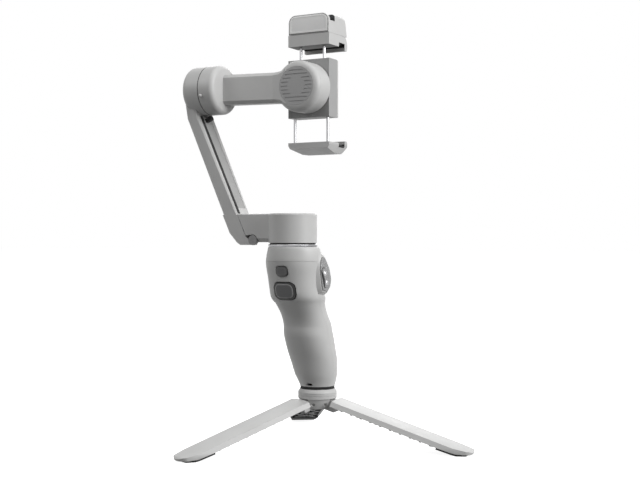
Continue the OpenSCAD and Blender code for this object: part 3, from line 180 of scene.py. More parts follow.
def vectorOf(tree, operation, first, second=None, output="Vector"):
    node = tree.nodes.new("ShaderNodeVectorMath")
    node.operation = operation
    feed(tree, node.inputs[0], first)
    feed(tree, node.inputs["Scale" if operation == "SCALE" else 1], second)
    return node.outputs[output]


def noiseOf(tree, coords, scale, detail=2.0, roughness=0.5, stretch=None):
    if stretch:
        mapping = tree.nodes.new("ShaderNodeMapping")
        mapping.inputs["Scale"].default_value = stretch
        tree.links.new(coords, mapping.inputs["Vector"])
        coords = mapping.outputs["Vector"]
    noise = tree.nodes.new("ShaderNodeTexNoise")
    noise.inputs["Scale"].default_value = scale
    noise.inputs["Detail"].default_value = detail
    noise.inputs["Roughness"].default_value = roughness
    tree.links.new(coords, noise.inputs["Vector"])
    return noise.outputs["Fac"]


def rampOf(tree, value, stops):
    ramp = tree.nodes.new("ShaderNodeValToRGB")
    ends = ramp.color_ramp.elements
    for end, (place, colour) in zip((ends[0], ends[1]), (stops[0], stops[-1])):
        end.position = place
        end.color = (*colour, 1)
    for place, colour in stops[1:-1]:
        ends.new(place).color = (*colour, 1)
    tree.links.new(value, ramp.inputs["Fac"])
    return ramp.outputs["Color"]


def rangeOf(tree, value, low, high, start=0.0, end=1.0):
    spread = tree.nodes.new("ShaderNodeMapRange")
    spread.inputs["From Min"].default_value = start
    spread.inputs["From Max"].default_value = end
    spread.inputs["To Min"].default_value = low
    spread.inputs["To Max"].default_value = high
    tree.links.new(value, spread.inputs["Value"])
    return spread.outputs["Result"]


def bumpOn(tree, shader, height, strength, distance):
    bump = tree.nodes.new("ShaderNodeBump")
    bump.inputs["Strength"].default_value = strength
    bump.inputs["Distance"].default_value = distance
    tree.links.new(height, bump.inputs["Height"])
    tree.links.new(bump.outputs["Normal"], shader.inputs["Normal"])


# materials

def startMaterial(name):
    material = bpy.data.materials.new(name)
    material.use_nodes = True
    tree = material.node_tree
    tree.nodes.clear()
    output = tree.nodes.new("ShaderNodeOutputMaterial")
    shader = tree.nodes.new("ShaderNodeBsdfPrincipled")
    tree.links.new(shader.outputs["BSDF"], output.inputs["Surface"])
    coords = tree.nodes.new("ShaderNodeTexCoord")
    return material, tree, shader, coords.outputs["Object"]


def grey(level):
    return (level, level, level)


mottle = (0.3, 0.7)  # part of a noise's range over which a colour changes


def mottled(tree, noise, first, second):
    return rampOf(tree, noise, [(mottle[0], first), (mottle[1], second)])


plasticLook = {
    "drift": 0.04, "cloud": 45, "cloudDetail": 3, "patch": 2.2, "patchDetail": 4, "grain": 2600,
    "grainDetail": 2, "grainRoughness": 0.6, "bump": 0.12, "depth": 0.00006,
    "roughness": (0.38, 0.5), "specular": 0.4, "seamTone": 0.2,
}


def seamShade(tree, coords, colour, look):  # painted shade: a dark line along the gap between two shells that turn, standing in for the shadow in the gap
    middle, reach, lowest = look["seam"]
    parts = tree.nodes.new("ShaderNodeSeparateXYZ")
    tree.links.new(coords, parts.inputs[0])
    near = mathOf(tree, "COMPARE", parts.outputs["X"], middle, reach)
    above = mathOf(tree, "GREATER_THAN", parts.outputs["Z"], lowest)
    both = mathOf(tree, "MULTIPLY", near, above)
    return vectorOf(tree, "SCALE", colour, rangeOf(tree, both, 1.0, look["seamTone"]))


def mouldedPlastic(name, changes):
    look = {**plasticLook, **changes}
    material, tree, shader, coords = startMaterial(name)
    darker = tuple(c * (1 - look["drift"]) for c in look["colour"])
    lighter = tuple(min(1, c * (1 + look["drift"])) for c in look["colour"])
    cloud = noiseOf(tree, coords, look["cloud"], look["cloudDetail"])
    colour = mottled(tree, cloud, darker, lighter)
    # painted shade along a gap, where the look gives one
    if "seam" in look:
        colour = seamShade(tree, coords, colour, look)
    tree.links.new(colour, shader.inputs["Base Color"])
    patches = noiseOf(tree, coords, look["cloud"] * look["patch"], look["patchDetail"])
    tree.links.new(rangeOf(tree, patches, *look["roughness"]), shader.inputs["Roughness"])
    grain = noiseOf(tree, coords, look["grain"], look["grainDetail"], look["grainRoughness"])
    bumpOn(tree, shader, grain, look["bump"], look["depth"])
    shader.inputs["Specular IOR Level"].default_value = look["specular"]
    return material


metalLook = {
    "lines": 900, "lineDetail": 3, "lineRoughness": 0.6, "stretch": (1, 1, 0.03), "lineTone": 0.86,
    "roughness": (0.16, 0.32), "bump": 0.06, "depth": 0.00003,
}


def brushedMetal(name, changes):
    look = {**metalLook, **changes}
    material, tree, shader, coords = startMaterial(name)
    lines = noiseOf(tree, coords, look["lines"], look["lineDetail"], look["lineRoughness"],
                    look["stretch"])
    darker = tuple(c * look["lineTone"] for c in look["colour"])
    tree.links.new(mottled(tree, lines, darker, look["colour"]), shader.inputs["Base Color"])
    tree.links.new(rangeOf(tree, lines, *look["roughness"]), shader.inputs["Roughness"])
    bumpOn(tree, shader, lines, look["bump"], look["depth"])
    shader.inputs["Metallic"].default_value = 1.0
    return material


rubberLook = {
    "dust": 70, "dustDetail": 5, "dustRoughness": 0.6, "dustRange": (0.42, 0.8), "dusty": 1.7,
    "dustLift": 0.004, "pores": 1800, "poreDetail": 3, "poreRoughness": 0.7,
    "roughness": (0.62, 0.82), "bump": 0.25, "depth": 0.00008, "specular": 0.3,
}


def mattRubber(name, changes):
    look = {**rubberLook, **changes}
    material, tree, shader, coords = startMaterial(name)
    dust = noiseOf(tree, coords, look["dust"], look["dustDetail"], look["dustRoughness"])
    dusty = tuple(c * look["dusty"] + look["dustLift"] for c in look["colour"])
    stops = [(look["dustRange"][0], look["colour"]), (look["dustRange"][1], dusty)]
    tree.links.new(rampOf(tree, dust, stops), shader.inputs["Base Color"])
    tree.links.new(rangeOf(tree, dust, *look["roughness"]), shader.inputs["Roughness"])
    pores = noiseOf(tree, coords, look["pores"], look["poreDetail"], look["poreRoughness"])
    bumpOn(tree, shader, pores, look["bump"], look["depth"])
    shader.inputs["Specular IOR Level"].default_value = look["specular"]
    return material


capLook = {
    "grain": 2200, "grainDetail": 3, "grainRoughness": 0.65, "grainTone": (0.7, 1.3), "haze": 90,
    "hazeDetail": 3, "roughness": (0.34, 0.5), "bump": 0.7, "height": 0.0006,
}


# a push button's edge zone, drawn from the distance to its rounded outline: painted shade for the
# groove round it and a painted highlight on its rim bevel
def capPaintedGrooveAndRimLight(name, changes):
    look = {**capLook, **changes}
    material, tree, shader, coords = startMaterial(name)
    lean = math.radians(look["lean"])
    offset = vectorOf(tree, "SUBTRACT", coords, spot(*look["centre"]))
    flat = tree.nodes.new("ShaderNodeCombineXYZ")
    for socket, axis in (("X", (1, 0, 0)), ("Y", (0, -math.sin(lean), math.cos(lean)))):
        along = vectorOf(tree, "DOT_PRODUCT", offset, axis, "Value")
        tree.links.new(along, flat.inputs[socket])
    corner = look["round"] * mm
    inner = (look["size"][0] * mm / 2 - corner, look["size"][1] * mm / 2 - corner, 0)
    value = vectorOf(tree, "ABSOLUTE", flat.outputs[0])
    value = vectorOf(tree, "SUBTRACT", value, inner)
    value = vectorOf(tree, "MAXIMUM", value, (0, 0, 0))
    reach = vectorOf(tree, "LENGTH", value, None, "Value")
    inward = rangeOf(tree, reach, 0.0, 1.0, corner, corner - look["depth"] * mm)
    colour = rampOf(tree, inward, look["stops"])
    grain = noiseOf(tree, coords, look["grain"], look["grainDetail"], look["grainRoughness"])
    grainy = vectorOf(tree, "SCALE", colour, rangeOf(tree, grain, *look["grainTone"]))
    tree.links.new(grainy, shader.inputs["Base Color"])
    haze = noiseOf(tree, coords, look["haze"], look["hazeDetail"])
    tree.links.new(rangeOf(tree, haze, *look["roughness"]), shader.inputs["Roughness"])
    heights = rampOf(tree, inward, look["heights"])
    bumpOn(tree, shader, heights, look["bump"], look["height"])
    return material


speckleLook = {
    "flakes": 900, "flakeEdge": (0.16, 0.3), "haze": 120, "hazeDetail": 3, "roughness": (0.2, 0.34),
    "bump": 0.1, "depth": 0.00004,
}


def speckledPanel(name, changes):
    look = {**speckleLook, **changes}
    material, tree, shader, coords = startMaterial(name)
    cells = tree.nodes.new("ShaderNodeTexVoronoi")
    cells.inputs["Scale"].default_value = look["flakes"]
    tree.links.new(coords, cells.inputs["Vector"])
    inside, outside = look["flakeEdge"]
    stops = [(0.0, look["flake"]), (inside, look["flake"]),
             (outside, look["colour"]), (1.0, look["colour"])]
    flakes = rampOf(tree, cells.outputs["Distance"], stops)
    tree.links.new(flakes, shader.inputs["Base Color"])
    haze = noiseOf(tree, coords, look["haze"], look["hazeDetail"])
    tree.links.new(rangeOf(tree, haze, *look["roughness"]), shader.inputs["Roughness"])
    bumpOn(tree, shader, cells.outputs["Distance"], look["bump"], look["depth"])
    return material


frostLook = {
    "milk": 60, "milkDetail": 2, "milkTone": 0.96, "frost": 5200, "frostDetail": 2,
    "frostRoughness": 0.7, "roughness": (0.42, 0.52), "bump": 0.2, "depth": 0.00004,
    "scatter": 0.15, "scatterReach": 0.002,
}


def frostedPanel(name, changes):
    look = {**frostLook, **changes}
    material, tree, shader, coords = startMaterial(name)
    milk = noiseOf(tree, coords, look["milk"], look["milkDetail"])
    shade = tuple(c * look["milkTone"] for c in look["colour"])
    tree.links.new(mottled(tree, milk, shade, look["colour"]), shader.inputs["Base Color"])
    tree.links.new(rangeOf(tree, milk, *look["roughness"]), shader.inputs["Roughness"])
    frost = noiseOf(tree, coords, look["frost"], look["frostDetail"], look["frostRoughness"])
    bumpOn(tree, shader, frost, look["bump"], look["depth"])
    shader.inputs["Subsurface Weight"].default_value = look["scatter"]
    shader.inputs["Subsurface Radius"].default_value = grey(look["scatterReach"])
    return material


shellColour = (0.53, 0.53, 0.525)
finishes = {
    "shell": mouldedPlastic("shellPlastic", {"colour": shellColour}),
    "gapShadedShell": mouldedPlastic("shellPlasticPaintedGapShade", {
        # painted shade: a dark line along the gap where the arm's shells turn
        "colour": shellColour,
        "seam": (spot(-76, 0, 0).x, 0.42 * mm, 260.5 * mm),  # middle and reach along X, lowest Z
    }),
    # painted shadow: a darker copy of the shell plastic for the arm's inner cover, which the phone
    # shades
    "phoneShadowShell": mouldedPlastic("shellPlasticPaintedPhoneShadow", {"colour": (0.36, 0.36, 0.357)}),
    "face": mouldedPlastic("facePlastic", {"colour": grey(0.34)}),
    "disc": mouldedPlastic("discPlastic", {"colour": grey(0.4), "roughness": (0.42, 0.55)}),
    "hingeGrey": mouldedPlastic("hingePlastic", {"colour": grey(0.3), "roughness": (0.4, 0.55)}),
    # near-black, for the upper jaw's downward faces
    "darkUnderside": mouldedPlastic("darkUndersidePlastic", {
        "colour": grey(0.05), "roughness": (0.45, 0.6),
    }),
    "button": mouldedPlastic("buttonPlastic", {
        "colour": (0.062, 0.063, 0.066), "roughness": (0.36, 0.5),
    }),
    # near-black plastic of the inner parts; the light head's groove also wears it as painted shade
    "inner": mouldedPlastic("innerAndGrooveShadePlastic", {"colour": (0.028, 0.028, 0.03), "grain": 1800}),
    "rim": mouldedPlastic("rimPlastic", {"colour": (0.86, 0.86, 0.85), "roughness": (0.3, 0.4)}),
    "redCap": mouldedPlastic("redCapPlastic", {
        "colour": (0.5, 0.03, 0.025), "roughness": (0.22, 0.32),
    }),
    "board": mouldedPlastic("boardLacquer", {
        "colour": (0.02, 0.11, 0.05), "roughness": (0.25, 0.4), "cloud": 300,
    }),
    "cell": mouldedPlastic("cellWrap", {
        "colour": (0.03, 0.09, 0.22), "roughness": (0.25, 0.35),
    }),
    "steel": brushedMetal("polishedSteel", {
        "colour": (0.72, 0.72, 0.73), "roughness": (0.14, 0.24),
    }),
    "rodSteel": brushedMetal("rodSteel", {"colour": (0.5, 0.5, 0.51), "roughness": (0.2, 0.34)}),
    "chrome": brushedMetal("chromeStuds", {
        "colour": (0.52, 0.52, 0.53), "roughness": (0.16, 0.24),
    }),
    "ringSteel": brushedMetal("ringSteel", {
        "colour": (0.38, 0.38, 0.39), "roughness": (0.1, 0.18), "stretch": (0.03, 0.03, 1),
    }),
    "darkSteel": brushedMetal("darkSteel", {
        "colour": (0.2, 0.2, 0.21), "roughness": (0.3, 0.42),
    }),
    "copper": brushedMetal("copperWinding", {
        "colour": (0.72, 0.36, 0.17), "lines": 1400, "stretch": (1, 1, 1),
    }),
    "brass": brushedMetal("brassInsert", {"colour": (0.72, 0.53, 0.25)}),
    "rubber": mattRubber("blackRubber", {"colour": grey(0.018)}),
    # centre, size, corner and depth of the edge zone in millimetres; the stops run from the
    # outline inwards, from the painted groove shade through the painted rim highlight
    "triggerCap": capPaintedGrooveAndRimLight("triggerPlastic", {
        "centre": (0.9, -14.9, 123.53), "lean": 15.5, "size": (18.2, 14.2),
        "round": 5.6, "depth": 4,
        "stops": [(0.0, grey(0.005)), (0.34, grey(0.006)), (0.41, grey(0.32)), (0.5, grey(0.22)),
                  (0.62, (0.085, 0.085, 0.087)), (1.0, (0.078, 0.079, 0.081))],
        "heights": [(0.0, grey(0)), (0.3, grey(0)), (0.42, grey(0.8)), (0.7, grey(1)),
                    (1.0, grey(0.96))],
    }),
    "modeCap": capPaintedGrooveAndRimLight("modeButtonPlastic", {
        "centre": (0.9, -18.038, 138.8), "lean": 15.5, "size": (9.6, 7.8),
        "round": 2.8, "depth": 2.4, "grain": 1500,
        # painted shade at the outline and a faint painted highlight on the rim
        "stops": [(0.0, grey(0.04)), (0.2, grey(0.05)), (0.36, grey(0.11)),
                  (1.0, (0.085, 0.085, 0.087))],
        "heights": [(0.0, grey(0)), (0.3, grey(0.7)), (0.8, grey(1)), (1.0, grey(0.9))],
    }),
    "speckle": speckledPanel("speckledInlay", {
        "colour": (0.26, 0.26, 0.262), "flake": grey(0.62),
    }),
    "frost": frostedPanel("frostedLens", {"colour": (0.86, 0.86, 0.855)}),
    "lens": frostedPanel("indicatorLens", {"colour": (0.75, 0.75, 0.73)}),
}
print("materials made,", len(finishes))

# camera, fitted to the photo

cameraFit = {
    "place": (443.5, -741.4, 162.4),  # millimetres from the pan axis
    "turn": 29.5, "lens": 63.15, "sensor": 36, "near": 0.05, "far": 50,
}


def makeCamera():
    look = cameraFit
    bpy.ops.object.camera_add(location=spot(*look["place"]),
                              rotation=(math.pi / 2, 0, math.radians(look["turn"])))
    camera = bpy.context.object
    camera.data.lens = look["lens"]
    camera.data.sensor_width = look["sensor"]
    camera.data.clip_start = look["near"]
    camera.data.clip_end = look["far"]
    bpy.context.scene.camera = camera
    bpy.context.scene.view_settings.view_transform = "Standard"


# floor and lights

studio = {
    "floorSize": 30,
    "floorBounce": 0.16,  # for light that goes on to the object
    "floorTone": 0.55,  # for the camera, so that the shadow stays visible
    "floorGlow": 0.9,
    "worldLight": 0.19,
    "aim": (0, 0, 0.2),
    "key": {"place": (1.25, 0.0, 0.7), "size": 0.8, "power": 17.5},
    "left": {"place": (-0.85, -0.95, 1.05), "size": 0.8, "power": 6.4},
    "back": {"place": (-0.55, 1.15, 0.8), "size": 0.8, "power": 5},
    "top": {"place": (0.25, -0.15, 1.6), "size": 0.9, "power": 6},
}


def makeFloor():
    bpy.ops.mesh.primitive_plane_add(size=studio["floorSize"], location=(0, 0, 0))
    floor = bpy.context.object
    floor.name = "studioFloor"
    material = bpy.data.materials.new("paleFloor")
    material.use_nodes = True
    tree = material.node_tree
    tree.nodes.clear()
    output = tree.nodes.new("ShaderNodeOutputMaterial")
    matt = tree.nodes.new("ShaderNodeBsdfDiffuse")
    glow = tree.nodes.new("ShaderNodeEmission")
    rays = tree.nodes.new("ShaderNodeLightPath").outputs
    tone = rangeOf(tree, rays["Is Camera Ray"], studio["floorBounce"], studio["floorTone"])
    tree.links.new(tone, matt.inputs["Color"])
    seen = mathOf(tree, "MAXIMUM", rays["Is Camera Ray"], rays["Is Glossy Ray"])
    strength = mathOf(tree, "MULTIPLY", seen, studio["floorGlow"])
    tree.links.new(strength, glow.inputs["Strength"])
    both = tree.nodes.new("ShaderNodeAddShader")
    tree.links.new(matt.outputs[0], both.inputs[0])
    tree.links.new(glow.outputs[0], both.inputs[1])
    tree.links.new(both.outputs[0], output.inputs["Surface"])
    floor.data.materials.append(material)


def makeWorld():
    world = bpy.data.worlds.new("studioWorld")
    bpy.context.scene.world = world
    world.use_nodes = True
    tree = world.node_tree
    tree.nodes.clear()
    output = tree.nodes.new("ShaderNodeOutputWorld")
    sky = tree.nodes.new("ShaderNodeBackground")
    sky.inputs["Color"].default_value = (1, 1, 1, 1)
    rays = tree.nodes.new("ShaderNodeLightPath").outputs
    seen = mathOf(tree, "MAXIMUM", rays["Is Camera Ray"], rays["Is Transmission Ray"])
    mirrored = mathOf(tree, "MAXIMUM", seen, rays["Is Glossy Ray"])
    level = rangeOf(tree, mirrored, studio["worldLight"], 1.0)
    tree.links.new(level, sky.inputs["Strength"])
    tree.links.new(sky.outputs[0], output.inputs["Surface"])


def makeLamp(name):
    look = studio[name]
    bpy.ops.object.light_add(type="AREA", location=look["place"])
    lamp = bpy.context.object
    lamp.name = name + "Lamp"
    lamp.data.shape = "SQUARE"
    lamp.data.size = look["size"]
    lamp.data.energy = look["power"]
    aim = Vector(studio["aim"]) - lamp.location
    lamp.rotation_euler = aim.to_track_quat("-Z", "Y").to_euler()


makeCamera()
makeFloor()
makeWorld()
for lampName in ("key", "left", "back", "top"):
    makeLamp(lampName)
print("camera and studio ready")


# finished copies of the CAD nodes, with eased edges
# edge is in millimetres, merge in metres, and sharp, smooth and flat are angles in degrees;
# tidy joins faces that lie in one plane
skinLook = {
    "edge": 0.3, "segments": 2, "sharp": 40, "smooth": 38, "flat": 0.8, "merge": 0.000004,
    "tidy": True, "arc": False, "under": False,
}


def spreadFoot(piece, foot):  # the foot of a raised frame runs into the shell as a slope
    choose(piece, "VERT", lambda v: v.x < spot(foot["above"], 0, 0).x)
    bpy.ops.transform.resize(value=foot["scale"], center_override=spot(*foot["centre"]))
    bpy.ops.transform.translate(value=(-foot["sink"] * mm, 0, 0))
    bpy.ops.mesh.select_all(action="DESELECT")
    bpy.ops.object.mode_set(mode="OBJECT")


def easedCopy(nodeName, body, finish, changes):
    look = {**skinLook, **changes}
    piece = copyPiece(nodes[nodeName], nodeName + "Skin")
    pick(piece)
    bpy.ops.object.mode_set(mode="EDIT")
    bpy.ops.mesh.select_all(action="SELECT")
    bpy.ops.mesh.remove_doubles(threshold=look["merge"])
    if look["tidy"]:
        bpy.ops.mesh.dissolve_limited(angle_limit=math.radians(look["flat"]))
    bpy.ops.mesh.select_all(action="DESELECT")
    bpy.ops.object.mode_set(mode="OBJECT")
    if "spread" in look:
        spreadFoot(piece, look["spread"])
    easeEdges(piece, look)
    smoothEdges(piece, look["smooth"])
    evenNormals(piece)
    setFinish(piece, finish)
    if look["under"]:  # near-black finish on the jaw's downward faces, where the rods come out
        paintFaces(piece, "darkUnderside", lambda face: face.normal.z < -facing)
    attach(piece, body)
    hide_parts(nodeName)


gripLook = {"edge": 0.35, "sharp": 50, "tidy": False}
legLook = {"edge": 0.4, "segments": 3, "sharp": 28}
motorLook = {"edge": 0.4, "segments": 3}
softLook = {"edge": 0.25}
thinPadLook = {"edge": 0.2}
skins = {
    "grip_front": ("base", "shell", gripLook),
    "grip_rear": ("base", "shell", gripLook),
    "grip_collar": ("base", "shell", gripLook),
    "base_plate": ("base", "rubber", {"sharp": 50}),
    "pan_ring": ("base", "ringSteel", {"edge": 0.12}),
    "side_bezel": ("base", "shell", {
        "edge": 0.5, "sharp": 66, "tidy": False, "segments": 3, "smooth": 62,
        "spread": {"above": 22.6, "centre": (22, 10.5, 136), "scale": (1, 1.34, 1.26),
                   "sink": 2.6},
    }),
    "side_panel": ("base", "speckle", {"edge": 0.5, "segments": 3}),
    "control_panel": ("base", "button", {"sharp": 50, "tidy": False}),
    "trigger": ("trigger", "triggerCap", {"edge": 0.7, "segments": 3, "sharp": 50, "arc": True}),
    "mode_button": ("mode_button", "modeCap", {
        "edge": 0.5, "segments": 3, "sharp": 50, "arc": True,
    }),
    "zoom_rocker": ("zoom_rocker", "speckle", {}),
    "record_button": ("record_button", "redCap", {"edge": 0.45, "segments": 3}),
    "power_button": ("power_button", "button", {"segments": 3}),
    "joystick_cap": ("joystick_cap", "rubber", thinPadLook),
    "tripod_hub": ("base", "shell", {"edge": 0.35}),
    "hub_pad": ("base", "rubber", {"edge": 0.15}),
    "leg_1": ("leg_one", "shell", legLook),
    "leg_2": ("leg_two", "shell", legLook),
    "leg_3": ("leg_three", "shell", legLook),
    "leg_liner_1": ("leg_one", "rubber", softLook),
    "leg_liner_2": ("leg_two", "rubber", softLook),
    "leg_liner_3": ("leg_three", "rubber", softLook),
    "pan_housing": ("pan_unit", "shell", motorLook),
    "pan_cover": ("pan_unit", "shell", {}),
    "arm_shell": ("folding_arm", "gapShadedShell", motorLook),
    # the inner cover wears the darker shell copy, a painted shadow of the phone
    "arm_cover": ("folding_arm", "phoneShadowShell", {}),
    "cable_strip": ("folding_arm", "rubber", {}),
    "hinge_barrels": ("folding_arm", "hingeGrey", {"edge": 0.5, "segments": 3}),
    "roll_arm": ("roll_arm", "gapShadedShell", motorLook),
    "roll_housing": ("roll_arm", "shell", motorLook),
    "roll_disc": ("roll_arm", "disc", {"edge": 0.12, "tidy": False}),
    "clamp_block": ("clamp", "face", motorLook),
    "clamp_cover": ("clamp", "shell", {"edge": 0.35}),
    "clamp_pad": ("clamp", "rubber", softLook),
    "upper_jaw": ("upper_jaw", "shell", {"edge": 0.5, "segments": 3, "under": True}),
    "lower_jaw": ("lower_jaw", "shell", {"edge": 1.1, "segments": 4, "smooth": 50}),
    "upper_pad": ("upper_jaw", "rubber", thinPadLook),
    "lower_pad": ("lower_jaw", "rubber", thinPadLook),
}
for nodeName, (body, finish, changes) in skins.items():
    easedCopy(nodeName, body, finish, changes)
print("eased copies made,", len(skins))

# fill light head: thin plate in front, rounded body behind, groove between them

headBody = {
    "halfWidth": 18.1, "low": 325.1, "high": 340.3, "front": 24.0, "plate": 2.6, "groove": 7.4,
    "floor": 334.6, "back": 54.0, "overlap": 0.4, "slack": 0.1,
    "plateRound": (6.0, 10), "rearRound": (5.2, 8), "bodyRound": (2.6, 5),  # size and segments
    "pinRadius": 4.05, "pinDepth": 3.4, "pinSides": 32, "pinY": 39.0,
}


def blockBetween(x0, x1, y0, y1, z0, z1):
    deselectAll()
    middle = spot((x0 + x1) / 2, (y0 + y1) / 2, (z0 + z1) / 2)
    size = ((x1 - x0) * mm, (y1 - y0) * mm, (z1 - z0) * mm)
    bpy.ops.mesh.primitive_cube_add(size=1, location=middle, scale=size)
    piece = bpy.context.object
    settle(piece)
    return piece


def combine(piece, other, operation):
    joining = piece.modifiers.new("combine", "BOOLEAN")
    joining.operation = operation
    joining.object = other
    joining.solver = "EXACT"
    applyAll(piece)
    bpy.data.objects.remove(other, do_unlink=True)


def makeLightHead():
    look = headBody
    half, low, high = look["halfWidth"], look["low"], look["high"]
    gap = look["front"] + look["plate"]
    rear = gap + look["groove"]
    lap, slack = look["overlap"], look["slack"]
    middle = spot(0, 0, (low + high) / 2).z
    top = high * mm - hair
    bottom = (low + slack) * mm
    backEdge = spot(0, look["back"] - slack, 0).y
    roundEdge = spot(0, look["back"] - look["rearRound"][0], 0).y - hair

    def onRearEdge(a, b):
        return min(a.z, b.z) > middle and min(a.y, b.y) > backEdge

    def onBodyRim(a, b):
        onTop = min(a.z, b.z) > top
        behind = min(a.y, b.y) > roundEdge and min(a.z, b.z) > bottom
        return abs(a.x - b.x) < sameLine and (onTop or behind)

    plate = blockBetween(-half, half, look["front"], gap, low, high)
    choose(plate, "EDGE", lambda a, b: min(a.z, b.z) > middle and abs(a.x - b.x) < sameLine)
    bevelPicked(*look["plateRound"])
    bpy.ops.object.mode_set(mode="OBJECT")
    core = blockBetween(-half, half, gap - lap, rear + lap, low, look["floor"])
    body = blockBetween(-half, half, rear, look["back"], low, high)
    choose(body, "EDGE", onRearEdge)
    bevelPicked(*look["rearRound"])
    choose(body, "EDGE", onBodyRim)
    bevelPicked(*look["bodyRound"])
    bpy.ops.object.mode_set(mode="OBJECT")
    combine(body, core, "UNION")
    combine(body, plate, "UNION")
    deselectAll()
    bpy.ops.mesh.primitive_cylinder_add(
        vertices=look["pinSides"], radius=look["pinRadius"] * mm, depth=look["pinDepth"] * 2 * mm,
        location=spot(0, look["pinY"], low))
    bore = bpy.context.object
    settle(bore)
    combine(body, bore, "DIFFERENCE")
    easeEdges(body, skinLook)
    doneShaping(body, "fillLightHead", "light", "shell")
    evenNormals(body)
    grooveStart = spot(0, gap - slack, 0).y
    grooveEnd = spot(0, rear + slack, 0).y

    def inGroove(face):
        sunk = abs(face.normal.x) < 0.5 and face.normal.z > -0.5  # neither flank nor underside
        return grooveStart < face.center.y < grooveEnd and sunk

    # painted shade: the groove's faces take the near-black inner plastic, for the shadow inside the
    # groove
    paintFaces(body, "inner", inGroove)
    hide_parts("light_head")


makeLightHead()
print("light head made")

# fill light pane, with its pale rim and the dark gasket round it

lightPane = {
    "halfWidth": 17.2, "low": 325.8, "high": 339.6, "front": 24.0, "proud": 0.4, "sunk": 0.3,
    "round": 5.3, "roundSegments": 10, "chamfer": 0.25, "rim": 1.15, "step": (0.15, -0.2),
    "crown": (0.5, 0.06), "corner": (0.35, 2), "gasket": 0.32, "gasketProud": 0.08,
    "gasketEdge": (0.12, 0.03), "slack": 0.1,
}


def roundedPlate(look, grow, proud):
    width = (look["halfWidth"] + grow) * 2
    height = look["high"] - look["low"] + grow * 2
    thick = look["sunk"] + proud
    centre = spot(0, look["front"] + (look["sunk"] - proud) / 2, (look["high"] + look["low"]) / 2)
    deselectAll()
    bpy.ops.mesh.primitive_cube_add(
        size=1, location=centre, scale=(width * mm, thick * mm, height * mm))
    piece = bpy.context.object
    settle(piece)
    choose(piece, "EDGE", lambda a, b: (
        a.z > centre.z and b.z > centre.z and abs(a.x - b.x) < sameLine))
    bevelPicked(look["round"] + grow, look["roundSegments"])
    return piece


def makeLightPane():
    look = lightPane
    gasket = roundedPlate(look, look["gasket"], look["gasketProud"])
    choose(gasket, "FACE", lambda c, n: n.y < -facing)
    insetPicked(*look["gasketEdge"])
    doneShaping(gasket, "lightGasket", "light", "rubber")
    pane = roundedPlate(look, 0, look["proud"])
    choose(pane, "FACE", lambda c, n: n.y < -facing)
    insetPicked(look["chamfer"], look["chamfer"] / 2)
    insetPicked(look["rim"], 0)
    insetPicked(*look["step"])
    insetPicked(*look["crown"])
    lowest = look["low"] * mm + hair
    side = look["halfWidth"] * mm - hair

    def isLowerCorner(a, b):
        outermost = min(abs(a.x - panAxis.x), abs(b.x - panAxis.x)) > side
        return max(a.z, b.z) < lowest and outermost

    choose(pane, "EDGE", isLowerCorner)
    bevelPicked(*look["corner"])
    doneShaping(pane, "lightPane", "light", "rim")
    reach = look["chamfer"] + look["rim"] + look["slack"]
    left = (look["halfWidth"] - reach) * mm
    bottom = (look["low"] + reach) * mm
    top = (look["high"] - reach) * mm

    def isFrosted(face):
        ends = [pane.data.vertices[i].co for i in face.vertices]
        inside = all(abs(end.x - panAxis.x) < left and bottom < end.z < top for end in ends)
        return face.normal.y < -facing and inside

    paintFaces(pane, "frost", isFrosted)


makeLightPane()
print("light pane and gasket made")

# black rubber ring in the gap above the steel ring, a dark piece that stands in for the shade in
# the gap

gapShadeRing = {"outer": 17.7, "inner": 9.0, "low": 159.27, "high": 160.4, "sides": 96}


def makeGapShadeRing():
    look = gapShadeRing
    height = look["high"] - look["low"]
    shrink = look["inner"] / look["outer"]
    place = spot(0, 0, look["low"])
    deselectAll()
    bpy.ops.mesh.primitive_circle_add(
        vertices=look["sides"], radius=look["outer"] * mm, location=place)
    ring = bpy.context.object
    settle(ring)
    choose(ring, "VERT", lambda v: True)
    extrudePicked(0, 0, height)
    extrudePicked(0, 0, 0)
    bpy.ops.transform.resize(value=(shrink, shrink, 1), center_override=place)
    extrudePicked(0, 0, -height)
    bpy.ops.object.mode_set(mode="OBJECT")
    choose(ring, "VERT", lambda v: v.z < place.z + hair)
    bpy.ops.mesh.bridge_edge_loops()
    # painted shade: black rubber fills the gap above the steel ring
    doneShaping(ring, "panGapShadeRing", "pan_unit", "rubber")


makeGapShadeRing()
print("dust ring made")

# screws in the clamp's back cover: one is modelled, then copied

coverScrew = {
    "radius": 1.3, "low": 38.5, "high": 39.1, "socket": 0.62, "sides": 24,
    "dome": (0.2, 0.12), "bore": (0.02, -0.45), "x": 15.1, "z": 19.06, "axis": 281.8,
}


def makeCoverScrews():
    look = coverScrew
    middle = spot(look["x"], (look["low"] + look["high"]) / 2, look["axis"] + look["z"])
    deselectAll()
    bpy.ops.mesh.primitive_cylinder_add(
        vertices=look["sides"], radius=look["radius"] * mm,
        depth=(look["high"] - look["low"]) * mm, location=middle, rotation=(math.pi / 2, 0, 0))
    screw = bpy.context.object
    settle(screw)
    choose(screw, "FACE", lambda c, n: n.y > facing)
    insetPicked(*look["dome"])
    insetPicked(look["radius"] - look["dome"][0] - look["socket"], 0)
    insetPicked(*look["bore"])
    doneShaping(screw, "coverScrewOne", "clamp", "darkSteel")
    for name, dx, dz in (("Two", -2, 0), ("Three", 0, -2), ("Four", -2, -2)):
        copy = copyPiece(screw, "coverScrew" + name)
        copy.location = (dx * look["x"] * mm, 0, dz * look["z"] * mm)
        settle(copy)
        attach(copy, "clamp")


makeCoverScrews()
print("cover screws made")

# studs of the zoom rocker

rockerStuds = {
    "centre": (22.9, 7.89, 133.39), "pitch": 3.65, "radius": 2.05, "base": 1.7, "high": 1.25,
    "lean": 20, "sides": 32, "steps": 6, "lastStep": 0.97, "tip": 0.05, "smooth": 60,
}


